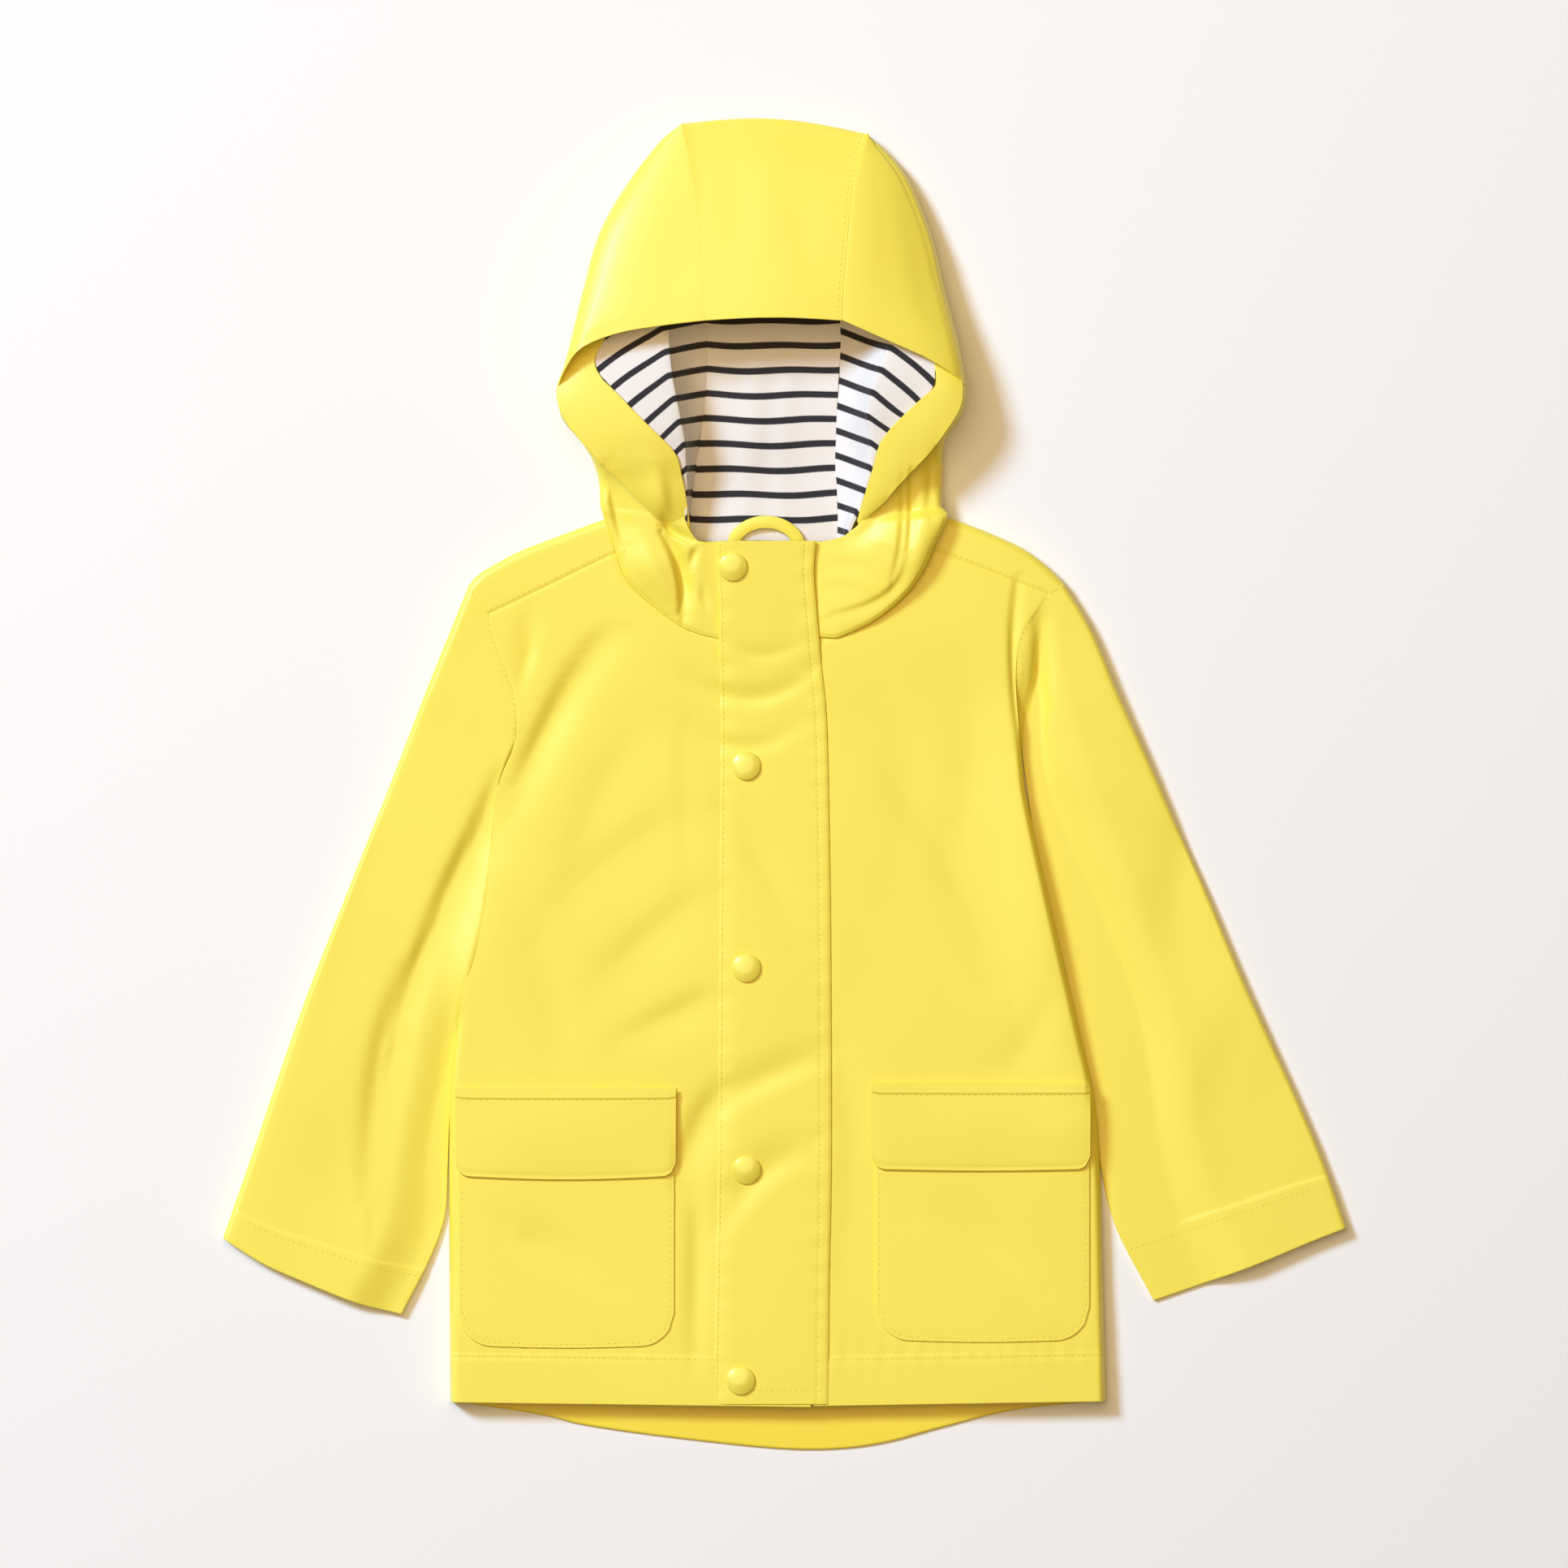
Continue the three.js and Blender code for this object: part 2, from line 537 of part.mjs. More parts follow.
// Sleeves: a flattened tube of rings, open at the armhole and the cuff.
function sleeveGeometry(rows, armhole, cuff, outward) {
  const last = rows.length - 1;
  const plan = patch(
    (u) => curveAt(armhole, u),
    (u) => curveAt(cuff, u),
    (v) => pointAt(rows, v * last, 'outerX', 'outerY'),
    (v) => pointAt(rows, v * last, 'innerX', 'innerY'),
  );
  const topAt = (place) => Math.max(4.4, coatTop(place.x, place.y) - foldsAt(sleeveFolds, place.x, place.y));
  const roll = steps(4, Math.PI);
  const grid = steps(16).map((v) => {
    const width = plan(0, v).distanceTo(plan(1, v));
    const edges = [0, 1].map((u) => {
      const radius = topAt(plan(u, v)) / 2;
      return { radius, share: radius / width };
    });
    const [outer, inner] = edges;
    const onPlan = (u, z) => {
      const place = plan(u, v);
      return new THREE.Vector3(place.x + outward * armholeGap, place.y, z);
    };
    const top = steps(11).map((s) => {
      const u = mix(outer.share, 1 - inner.share, s);
      return onPlan(u, topAt(plan(u, v)));
    });
    const innerRoll = roll.slice(1, -1).map((angle) => onPlan(
      1 - inner.share * (1 - Math.sin(angle)),
      inner.radius * (1 + Math.cos(angle)),
    ));
    const bottom = steps(5).map((s) => onPlan(mix(1 - inner.share, outer.share, s), 0));
    const outerRoll = roll.slice(1, -1).reverse().map((angle) => onPlan(
      outer.share * (1 - Math.sin(angle)),
      outer.radius * (1 + Math.cos(angle)),
    ));
    return [...top, ...innerRoll, ...bottom, ...outerRoll];
  });
  return wallGeometry(grid, cloth, true);
}

// The hood's outer fold: from its top down to the table, round an upright half ellipse.
function foldDown(fold, height, inward, turns = 6) {
  return steps(turns, Math.PI).map((angle) => {
    const place = fold.clone().addScaledVector(inward, hoodRoll * (1 - Math.sin(angle)));
    return new THREE.Vector3(place.x, place.y, (height / 2) * (1 + Math.cos(angle)));
  });
}
const upperSteps = steps(9);
const seamStep = (side, v) => pointAt(hoodUpper[side], v * 5, 'seamX', 'seamY');

// The back seam of one side at a distance up the hood.
function backSeamAt(side, y) {
  const k = clamp(centreBack.findIndex((row) => row[`${side}Y`] <= y), 1, centreBack.length - 1);
  const [above, below] = [centreBack[k - 1], centreBack[k]];
  const t = (above[`${side}Y`] - y) / (above[`${side}Y`] - below[`${side}Y`]);
  return new THREE.Vector2(mix(above[`${side}X`], below[`${side}X`], t), y);
}

function hoodSideGeometry(side) {
  const outward = side === 'left' ? -1 : 1;
  const upper = hoodUpper[side];
  const lower = hoodLower[side];
  const last = upper.length - 1;
  const seamShift = new THREE.Vector2(outward * hoodSeamGap, 0);
  const plan = patch(
    (u) => pointAt(upper, 0, 'seamX', 'seamY').lerp(pointAt(upper, 0, 'foldX', 'foldY'), u),
    (u) => curveAt(brim[side], u),
    (v) => seamStep(side, v),
    (v) => pointAt(upper, v * last, 'foldX', 'foldY'),
  );
  const upperGrid = upperSteps.map((v) => {
    const fold = plan(1, v);
    const seam = plan(0, v);
    const width = fold.distanceTo(seam);
    const rollShare = Math.min(0.45, hoodRoll / width);
    const foldZ = along(upper, 'foldZ', v * last);
    const seamZ = along(upper, 'seamZ', v * last);
    const top = steps(5).slice(0, -1).map((s) => {
      const u = s * (1 - rollShare);
      const place = plan(u, v);
      const height = mix(seamZ, foldZ, s) + 1.6 * Math.sin(Math.PI * s) * v;
      return new THREE.Vector3(place.x + seamShift.x, place.y, height);
    });
    const inside = plan(1 - rollShare, v);
    const inward = inside.clone().sub(fold).normalize();
    const back = backSeamAt(side, along(upper, 'backY', v * last)).add(seamShift);
    const roll = foldDown(fold, foldZ, inward.multiplyScalar(Math.min(1, (0.45 * width) / hoodRoll)));
    const foot = roll.at(-1);
    const floor = [0.5, 1].map((s) => new THREE.Vector3(mix(foot.x, back.x, s), mix(foot.y, back.y, s), 0));
    return [...top, ...roll, ...floor];
  });
  const lowerGrid = steps(8, lower.length - 1).map((t) => {
    const fold = pointAt(lower, t, 'foldX', 'foldY');
    const ridge = pointAt(lower, t, 'ridgeX', 'ridgeY');
    const back = backSeamAt(side, along(lower, 'backY', t)).add(seamShift);
    const foldZ = along(lower, 'foldZ', t);
    const ridgeZ = along(lower, 'ridgeZ', t);
    const inward = ridge.clone().sub(fold).normalize();
    const start = fold.clone().addScaledVector(inward, hoodRoll);
    ridge.addScaledVector(inward, -ridgeGap);
    const top = steps(4).slice(0, -1).map((s) => {
      const place = ridge.clone().lerp(start, s);
      return new THREE.Vector3(place.x, place.y, mix(ridgeZ, foldZ, s));
    });
    const roll = foldDown(fold, foldZ, inward);
    const foot = roll.at(-1);
    const floor = [0.5, 1].map((s) => new THREE.Vector3(mix(foot.x, back.x, s), mix(foot.y, back.y, s), 0));
    return [...top, ...roll, ...floor];
  });
  const nape = table('x y', side === 'left'
    ? [[-93, 137], [-76, 130], [-50, 123]]
    : [[81.5, 137], [60, 130], [28, 123]]);
  const end = lower.at(-1);
  const napeGrid = steps(2).map((v) => steps(3).map((u) => {
    const start = new THREE.Vector2(mix(end.foldX - outward * 6, backSeamAt(side, end.backY).x + seamShift.x, u), end.foldY - 0.3);
    const place = start.lerp(curveAt(nape, u).addScaledVector(seamShift, u), v);
    return new THREE.Vector3(place.x, place.y, cloth);
  }));
  const collarRows = collar[side];
  const frontRows = side === 'left' ? leftFront : rightFront;
  const collarGrid = [
    ...steps(4, 2).slice(0, -1),
    ...steps(10, armholeRows).map((t) => t + 2),
  ].map((t) => {
    const seam = t < 2
      ? pointAt(collarStart[side], t)
      : pointAt(frontRows, t - 2, 'innerX', 'innerY');
    const top = pointAt(collarRows, t, 'topX', 'topY');
    const away = top.clone().sub(seam).normalize();
    seam.addScaledVector(away, t < 1.9 ? seamGap * t * 0.5 : seamGap);
    return steps(6).map((s) => {
      const place = seam.clone().lerp(top, s);
      const startZ = t < 2 ? mix(end.foldZ, coatTop(seam.x, seam.y), t / 2) : coatTop(seam.x, seam.y);
      const swell = along(collarRows, 'swell', t) * Math.sin(Math.PI * s ** 0.6);
      const rise = mix(startZ, along(collarRows, 'topZ', t), s);
      return new THREE.Vector3(place.x, place.y, rise + swell);
    });
  });
  return join(
    wallGeometry(upperGrid, cloth),
    wallGeometry(lowerGrid, cloth),
    wallGeometry(napeGrid, cloth),
    wallGeometry(collarGrid, cloth),
  );
}

// The hood's centre strip: from the brim over the crown fold and down the back to the nape.
function hoodCentreGeometry() {
  const across = steps(5);
  const crownAt = (u) => crownTop - 7 * (2 * u - 1) ** 2 - 2.5 * u;
  const topRows = [...upperSteps].reverse().slice(0, -1).map((v) => across.map((u) => {
    const left = seamStep('left', v);
    const right = seamStep('right', v);
    left.x += seamGap;
    right.x -= seamGap;
    const z = mix(along(hoodUpper.left, 'seamZ', v * 5), along(hoodUpper.right, 'seamZ', v * 5), u);
    const bow = Math.sin(Math.PI * u);
    const y = mix(left.y, right.y, u) + brimBow * bow * v + 3 * bow * (1 - v);
    return new THREE.Vector3(mix(left.x, right.x, u), y, z + 1.5 * bow * v);
  }));
  const foldRadius = 4.5; // half the height of the fold over the crown
  const roll = foldAngles.map((angle) => across.map((u) => {
    const left = seamStep('left', 0);
    const right = seamStep('right', 0);
    const y = crownAt(u) - foldRadius * (1 - Math.sin(angle));
    return new THREE.Vector3(mix(left.x + seamGap, right.x - seamGap, u), y, foldRadius * (1 + Math.cos(angle)));
  }));
  const floor = steps(8, centreBack.length - 1).map((t) => across.map((u) => {
    const left = pointAt(centreBack, t, 'leftX', 'leftY');
    const right = pointAt(centreBack, t, 'rightX', 'rightY');
    const place = left.lerp(right, u);
    return new THREE.Vector3(place.x + seamGap * (1 - 2 * u), place.y, 0);
  }));
  return wallGeometry([...topRows, ...roll, ...floor.slice(1)], cloth);
}

// The striped lining: a centre strip on the hood's back and two sides that climb to the ridges.
const liningFloor = cloth + flapStep;
function liningCentreGeometry() {
  const grid = steps(12, liningCentre.length - 1).map((t) => steps(4).map((u) => {
    const x = mix(along(liningCentre, 'leftX', t) + seamGap, along(liningCentre, 'rightX', t) - seamGap, u);
    const wave = liningWave * (0.5 + 0.5 * Math.sin(3 * t + 2.5 * u));
    return new THREE.Vector3(x, along(liningCentre, 'y', t), liningFloor + liningCloth + wave);
  }));
  return wallGeometry(grid, liningCloth);
}
function liningSideGeometry(side) {
  const outward = side === 'left' ? -1 : 1;
  const rows = sideLining[side];
  const grid = steps(9, rows.length - 1).map((t) => {
    const back = pointAt(rows, t, 'backX', 'backY');
    const ridge = pointAt(rows, t, 'ridgeX', 'ridgeY');
    const edge = pointAt(rows, t, 'edgeX', 'edgeY');
    const ridgeZ = along(rows, 'ridgeZ', t);
    const edgeZ = along(rows, 'edgeZ', t);
    const foot = liningFloor + liningCloth;
    const start = new THREE.Vector3(back.x + outward * (seamGap + 0.3), back.y, foot);
    const crest = new THREE.Vector3(ridge.x, ridge.y, ridgeZ);
    const route = new THREE.CatmullRomCurve3([
      start,
      new THREE.Vector3(mix(start.x, crest.x, 0.45), mix(start.y, crest.y, 0.45), mix(foot, ridgeZ, 0.3)),
      new THREE.Vector3(mix(start.x, crest.x, 0.86), mix(start.y, crest.y, 0.86), mix(foot, ridgeZ, 0.84)),
      crest,
      new THREE.Vector3(edge.x, edge.y, edgeZ),
    ]);
    return steps(7).map((s) => route.getPoint(1 - s));
  });
  return wallGeometry(grid, liningCloth);
}
function facingGeometry(side) {
  const rows = facing[side];
  const grid = steps(16, rows.length - 1).map((t) => {
    const edge = pointAt(rows, t, 'edgeX', 'edgeY');
    const inner = pointAt(rows, t, 'innerX', 'innerY');
    const edgeZ = along(rows, 'edgeZ', t);
    const innerZ = along(rows, 'innerZ', t);
    return steps(3).map((s) => {
      const place = edge.clone().lerp(inner, s);
      return new THREE.Vector3(place.x, place.y, mix(edgeZ, innerZ, s) + 0.5 * Math.sin(Math.PI * s));
    });
  });
  return wallGeometry(grid, cloth);
}

// The loop at the nape: a flat tape bent to an arch.
function loopGeometry() {
  const centre = { x: -10, y: 122 };
  const tape = 6;
  const [rx, ry] = [20, 16];
  const grid = steps(12, Math.PI).map((angle) => [1, 0.5, 0].map((s) => new THREE.Vector3(
    centre.x - (rx - tape * s) * Math.cos(angle),
    centre.y + (ry - tape * s) * Math.sin(angle),
    liningFloor + liningCloth + liningWave + flapStep + 1 + 1.5 * Math.sin(angle),
  )));
  return wallGeometry(grid, 1);
}

// Pieces that lie on the fronts
const neckY = 71; // the neck seam at the front
const collarTopY = 124.5;
const collarLift = 0.8; // the placket clears the collar's swell by this
function frontTop(x, y) {
  if (y < neckY - 12) return coatTop(x, y);
  const share = clamp((y - neckY) / (collarTopY - neckY), 0, 1);
  return mix(coatTop(x, Math.min(y, neckY)), collarRise, share) + collarLift * ease(neckY - 12, neckY + 8, y);
}
const placketLift = flapStep + placketThickness + 0.3; // top of the placket over the front
const snapSeat = 0.4; // a snap's base over the placket
function placketGeometry() {
  const count = placketRows.length - 1;
  const grid = steps(32, count).map((t) => {
    const left = pointAt(placketRows, t, 'leftX', 'leftY');
    const right = pointAt(placketRows, t, 'rightX', 'rightY');
    return steps(4).map((s) => {
      const place = left.clone().lerp(right, s);
      return new THREE.Vector3(place.x, place.y, frontTop(place.x, place.y) + placketLift);
    });
  });
  return wallGeometry(grid, placketThickness);
}
function snapGeometry(x, y) {
  const slope = (frontTop(x, y + snapRadius) - frontTop(x, y - snapRadius)) / (2 * snapRadius);
  const seat = frontTop(x, y) + placketLift + snapSeat;
  const rim = 0.7;
  const profile = [
    [0, 0], [snapRadius, 0], [snapRadius, rim],
    [snapRadius * 0.8, snapDome * 0.75], [snapRadius * 0.4, snapDome * 0.96], [0, snapDome],
  ].map(([radius, height]) => new THREE.Vector2(radius, height));
  const geometry = new THREE.LatheGeometry(profile, 16);
  geometry.rotateX(Math.PI / 2 + Math.atan(slope));
  geometry.translate(x, y, seat);
  return geometry;
}

// Height of the front with its rolled side, for pieces that reach the side seam.
function rolledTop(rows, x, y) {
  let t = armholeRows;
  while (t < rows.length - 1 && pointAt(rows, t, 'sideX', 'sideY').y > y) t += 0.02;
  const inset = Math.abs(pointAt(rows, t, 'sideX', 'sideY').x - x);
  const roll = Math.sqrt(1 - (1 - clamp(inset / sideRoll, 0, 1)) ** 2);
  return mix(seamHeight, coatTop(x, y), roll);
}
function patchGeometry(form, rows, lift, puff, cols, rowCount) {
  const grid = steps(rowCount).map((v) => steps(cols).map((u) => {
    const s = 2 * u - 1;
    const rise = form.corner * (1 - Math.sqrt(1 - Math.max(0, (Math.abs(s) - 0.72) / 0.28) ** 2 * 0.9));
    const y = mix(form.top, form.bottom + rise, v) - form.dip * Math.sin(Math.PI * u) * v;
    const x = mix(form.x0, form.x1, u);
    const swell = puff * Math.sin(Math.PI * u) * Math.sin(Math.PI * v);
    return new THREE.Vector3(x, y, rolledTop(rows, x, y) + lift + cloth + swell);
  }));
  return wallGeometry(grid, cloth);
}

// Putting the coat together
const coat = new THREE.Group();
function add(name, geometry, material) {
  const mesh = new THREE.Mesh(geometry, material);
  mesh.name = name;
  coat.add(mesh);
}
add('back', join(
  backGeometry(),
  shoulderGeometry(leftShoulder, leftFront),
  shoulderGeometry(rightShoulder, rightFront),
), yellowCloth('back'));
add('front_left', frontGeometry(leftFront), yellowCloth('front'));
add('front_right', frontGeometry(rightFront), yellowCloth('front'));
add('sleeve_left', sleeveGeometry(leftSleeve, leftArmhole, leftCuff, -1), yellowCloth('sleeve'));
add('sleeve_right', sleeveGeometry(rightSleeve, rightArmhole, rightCuff, 1), yellowCloth('sleeve'));
add('hood_centre', hoodCentreGeometry(), yellowCloth('hood'));
add('lining_centre', liningCentreGeometry(), stripedCloth());
add('hanging_loop', loopGeometry(), yellowCloth('loop'));
for (const side of ['left', 'right']) {
  add(`hood_${side}`, hoodSideGeometry(side), yellowCloth('hood'));
  add(`lining_${side}`, liningSideGeometry(side), stripedCloth());
  add(`facing_${side}`, facingGeometry(side), yellowCloth('facing'));
  const rows = side === 'left' ? leftFront : rightFront;
  add(`pocket_${side}`, patchGeometry(pockets[side], rows, flapStep, pocketPuff, 10, 6), yellowCloth('pocket'));
  const flapLift = flapStep + cloth + flapStep + pocketPuff;
  add(`pocket_flap_${side}`, patchGeometry(flaps[side], rows, flapLift, 1.0, 10, 4), yellowCloth('flap'));
}
add('placket', placketGeometry(), yellowCloth('placket'));
snapPlaces.forEach(({ x, y }, k) => add(`snap_${k + 1}`, snapGeometry(x, y), yellowCloth('snap')));

// The origin is the middle of the coat's outline, on the table.
const box = new THREE.Box3().setFromObject(coat);
const middle = box.getCenter(new THREE.Vector3());
coat.position.set(-middle.x, -middle.y, -box.min.z);
coat.updateMatrixWorld(true);

export default coat;
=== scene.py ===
# A child's hooded raincoat in coated cloth, laid flat on a pale table.
# Sizes are millimetres on the table: +Y runs from the hem to the hood, left is at -X.
import math

import bpy
import numpy as np
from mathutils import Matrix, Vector
from mathutils.bvhtree import BVHTree


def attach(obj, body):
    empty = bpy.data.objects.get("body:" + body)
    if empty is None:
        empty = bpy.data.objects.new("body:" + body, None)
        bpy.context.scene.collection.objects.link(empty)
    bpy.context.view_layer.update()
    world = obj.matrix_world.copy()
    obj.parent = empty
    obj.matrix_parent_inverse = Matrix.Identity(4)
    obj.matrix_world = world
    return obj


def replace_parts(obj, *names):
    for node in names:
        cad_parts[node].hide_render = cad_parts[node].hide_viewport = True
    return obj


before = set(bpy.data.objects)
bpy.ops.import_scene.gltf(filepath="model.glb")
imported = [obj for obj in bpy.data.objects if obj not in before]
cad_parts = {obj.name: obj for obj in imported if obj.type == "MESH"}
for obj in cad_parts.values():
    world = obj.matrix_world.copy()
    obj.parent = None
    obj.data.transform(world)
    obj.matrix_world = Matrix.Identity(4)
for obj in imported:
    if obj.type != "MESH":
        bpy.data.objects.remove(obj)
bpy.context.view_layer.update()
print("frame loaded")

mm = 0.001
tableShift = np.array([0.25, 0.81, 0.0])  # from the tables' origin to the part's own
clothThickness = 0.75
liningThickness = 0.5
seamGap = 0.2
layerGap = 0.3  # between cloth and the cloth it lies on
armholeRows = 5  # rows of a front's table along its armhole
overshoot = 0.4  # how far a smooth line may pass its table's values
outwards = {"left": -1, "right": 1}


# Tables: the first line names the columns, each row is one section of the piece
def table(names, rows):
    data = np.array(rows, dtype=float)
    return {name: data[:, k] for k, name in enumerate(names.split())}


def count(rows):
    return len(next(iter(rows.values())))


leftFront = table("sideX sideY innerX innerY", [
    [-154, 87, -88, 119],
    [-150.5, 73.5, -82.5, 105],
    [-144.5, 58.5, -70.5, 93],
    [-139, 40.5, -49.5, 78.5],
    [-140, 21, -19, 72],
    [-149, -1, 13, 70.5],
    [-152, -33.5, 13, 27.5],
    [-156.5, -69.5, 13, -19],
    [-167, -111.5, 13, -69.5],
    [-172.8, -149, 13, -119.5],
    [-173.8, -187, 13, -170],
    [-173.8, -224.5, 13, -216.5],
    [-173.6, -266.5, 13, -262.5],
    [-173, -319.5, 13, -322],
])
rightFront = table("sideX sideY innerX innerY", [
    [136.5, 97.5, 76.5, 120.5],
    [127, 85.5, 72, 110.5],
    [121, 73.5, 63, 97.5],
    [119, 56.5, 47, 84],
    [120, 35.5, 28, 75],
    [122.5, 12, 15, 71],
    [125, -8, 15, 31.5],
    [133, -45, 15, -14.5],
    [142.5, -86.5, 15, -65],
    [152, -127.5, 15, -115.5],
    [160, -164, 15, -161.5],
    [163, -203.5, 15, -208],
    [164.5, -262.5, 15, -262.5],
    [166, -319, 15, -321.5],
])
frontRows = {"left": leftFront, "right": rightFront}
leftShoulder = table("x y", [[-93.5, 136.5], [-116.5, 128], [-138, 119.5], [-157, 109], [-164, 102]])
rightShoulder = table("x y", [[84, 137.5], [104, 130], [123.5, 121], [135.5, 112], [144.5, 103]])
backTop = table("x y", [
    [-154, 87], [-138, 103], [-112.5, 118], [-91.5, 125], [-70.5, 120], [-50, 117], [-5, 116.5],
    [28, 117], [55.5, 120], [80, 125], [104, 120], [122, 110], [136.5, 97.5],
])
backHem = table("x y", [
    [-173, -319.5], [-128, -326], [-104.5, -331.5], [-63, -337.5], [-7, -343.5], [26, -344],
    [52.5, -340.5], [80.5, -333], [118, -324], [166, -319],
])
leftSleeve = table("outerX outerY innerX innerY", [
    [-164, 102, -140, 21],
    [-176, 72.5, -150, -5],
    [-189, 40, -154, -46],
    [-203, 3.5, -158.5, -82],
    [-217.5, -33, -168, -117.5],
    [-232, -69.5, -172.8, -145],
    [-247, -108, -174.6, -174.5],
    [-261.5, -149, -175.5, -199.5],
    [-275.5, -190.5, -177, -224.5],
    [-284.5, -216.5, -185, -247],
    [-291, -235, -199, -274.5],
])
rightSleeve = table("outerX outerY innerX innerY", [
    [144.5, 103, 120, 35.5],
    [158.5, 80, 125, 4],
    [173, 46, 130, -31],
    [188.5, 11.5, 137.8, -65],
    [204, -24.5, 144.5, -94.5],
    [219.5, -59.5, 151.2, -123],
    [235, -96.5, 157.4, -151],
    [249.5, -129, 161.6, -176.5],
    [265, -163, 164.6, -201.5],
    [279, -196.5, 172.5, -231],
    [290.5, -229.5, 191.5, -267.5],
])
leftArmhole = table("x y", [
    [-164, 102], [-153.5, 87.5], [-150.5, 73.5], [-144.5, 58.5], [-139, 40.5], [-140, 21],
])
rightArmhole = table("x y", [
    [144.5, 103], [136.5, 97.5], [127, 85.5], [121, 73.5], [119, 56.5], [120, 35.5],
])
leftCuff = table("x y", [[-291, -235], [-270.5, -248], [-249.5, -257.5], [-222, -268.5], [-199, -274.5]])
rightCuff = table("x y", [[290.5, -229.5], [270.5, -237.5], [248, -247], [228.5, -254.5], [191.5, -267.5]])

# The hood's upper half: the outer fold, the crown seam over it and the back seam on the table
hoodUpper = {
    "left": table("foldX foldY foldZ seamX seamY seamZ backY", [
        [-59.5, 338.2, 9, -53.5, 340.6, 9, 334],
        [-79.5, 313, 12, -48.5, 319, 17, 311],
        [-95.5, 285.5, 17.5, -45, 295.5, 24, 283.5],
        [-104, 256.5, 22, -43.5, 271.5, 29, 258.5],
        [-113, 219.5, 25, -42, 252, 33, 233],
        [-118.4, 202.5, 22, -41.5, 238, 35, 202],
    ]),
    "right": table("foldX foldY foldZ seamX seamY seamZ backY", [
        [46.5, 332.8, 9, 42, 335.4, 9, 331],
        [63, 313, 12, 36.5, 317, 17, 311],
        [75.5, 283.5, 15, 33.5, 294.5, 24, 283.5],
        [82.5, 255, 19, 31.5, 271.5, 29, 258.5],
        [90, 224.5, 25, 30, 252, 33, 233],
        [93.6, 205, 26.5, 29.5, 238, 35, 202],
    ]),
}
centreBack = table("leftX leftY rightX rightY", [
    [-53.8, 334, 42.3, 331],
    [-47, 311, 35.5, 311],
    [-44.5, 283.5, 31.5, 283.5],
    [-41, 258.5, 29, 258.5],
    [-40, 233, 28.5, 233],
    [-42.5, 189, 26, 189],
    [-46, 164, 26, 164],
    [-50, 140.5, 26, 140.5],
    [-50.5, 123, 28, 123],
])
brim = {
    "left": table("x y", [
        [-41.5, 238], [-63, 235.5], [-86.5, 231.5], [-105, 224], [-113.5, 213.5], [-118.4, 202.5],
    ]),
    "right": table("x y", [[29.5, 238], [42, 232.5], [54.5, 227], [71.5, 219.5], [85, 211.5], [93.6, 205]]),
}
# The hood's lower sides, from the corner to the neck
hoodLower = {
    "left": table("foldX foldY foldZ ridgeX ridgeY ridgeZ backY", [
        [-117.5, 207, 20, -60, 207, 19, 207],
        [-117.5, 198, 20, -58, 198, 20, 197],
        [-114.5, 187, 19.5, -55, 187, 21, 189],
        [-103, 173, 17, -54, 172, 20, 172],
        [-97, 159, 14, -53.5, 158.5, 18, 157.5],
        [-95.5, 143, 12, -50, 137.5, 15, 140.5],
    ]),
    "right": table("foldX foldY foldZ ridgeX ridgeY ridgeZ backY", [
        [92.5, 210, 26, 48, 210, 24, 210],
        [93.5, 201, 24, 47, 201, 24, 201],
        [91, 190, 20, 45, 189, 22, 189],
        [82.5, 176.5, 15, 46.5, 175, 20, 174.5],
        [81.5, 161.5, 12.5, 45.5, 161.5, 18, 159.5],
        [81, 143, 12.5, 39.5, 138, 15, 140.5],
    ]),
}
# The collar part of the hood's sides, a row for each section round the neck
collar = {
    "left": table("topX topY topZ swell lift", [
        [-50, 137.5, 15, 0, 0],
        [-48.5, 129.5, 14.5, 1, 0],
        [-46, 125.5, 14.2, 2.5, 0],
        [-42.5, 124.5, 14, 3.2, 0],
        [-37, 124.5, 13.6, 2.4, 0],
        [-26, 124.5, 13.2, 0.6, 0],
        [-7.5, 124.5, 12.8, 0, 0],
        [13, 124.5, 12.6, 0, 0],
    ]),
    "right": table("topX topY topZ swell lift", [
        [39.5, 138, 15, 0, 1.5],
        [36.5, 132.5, 14.5, 3, 5.5],
        [33, 129.5, 14.2, 4.5, 7],
        [30.5, 127.5, 14, 4, 6.5],
        [26, 126, 13.6, 3, 5],
        [22, 125, 13.2, 2, 3],
        [18.5, 124.5, 12.8, 1, 1.5],
        [15, 124.5, 12.6, 0, 0],
    ]),
}
collarStart = {
    "left": table("x y", [[-95.5, 143], [-93.5, 136], [-88, 119]]),
    "right": table("x y", [[81, 143], [84, 137], [76.5, 120.5]]),
}
napes = {
    "left": table("x y", [[-93, 137], [-76, 130], [-50, 123]]),
    "right": table("x y", [[81.5, 137], [60, 130], [28, 123]]),
}
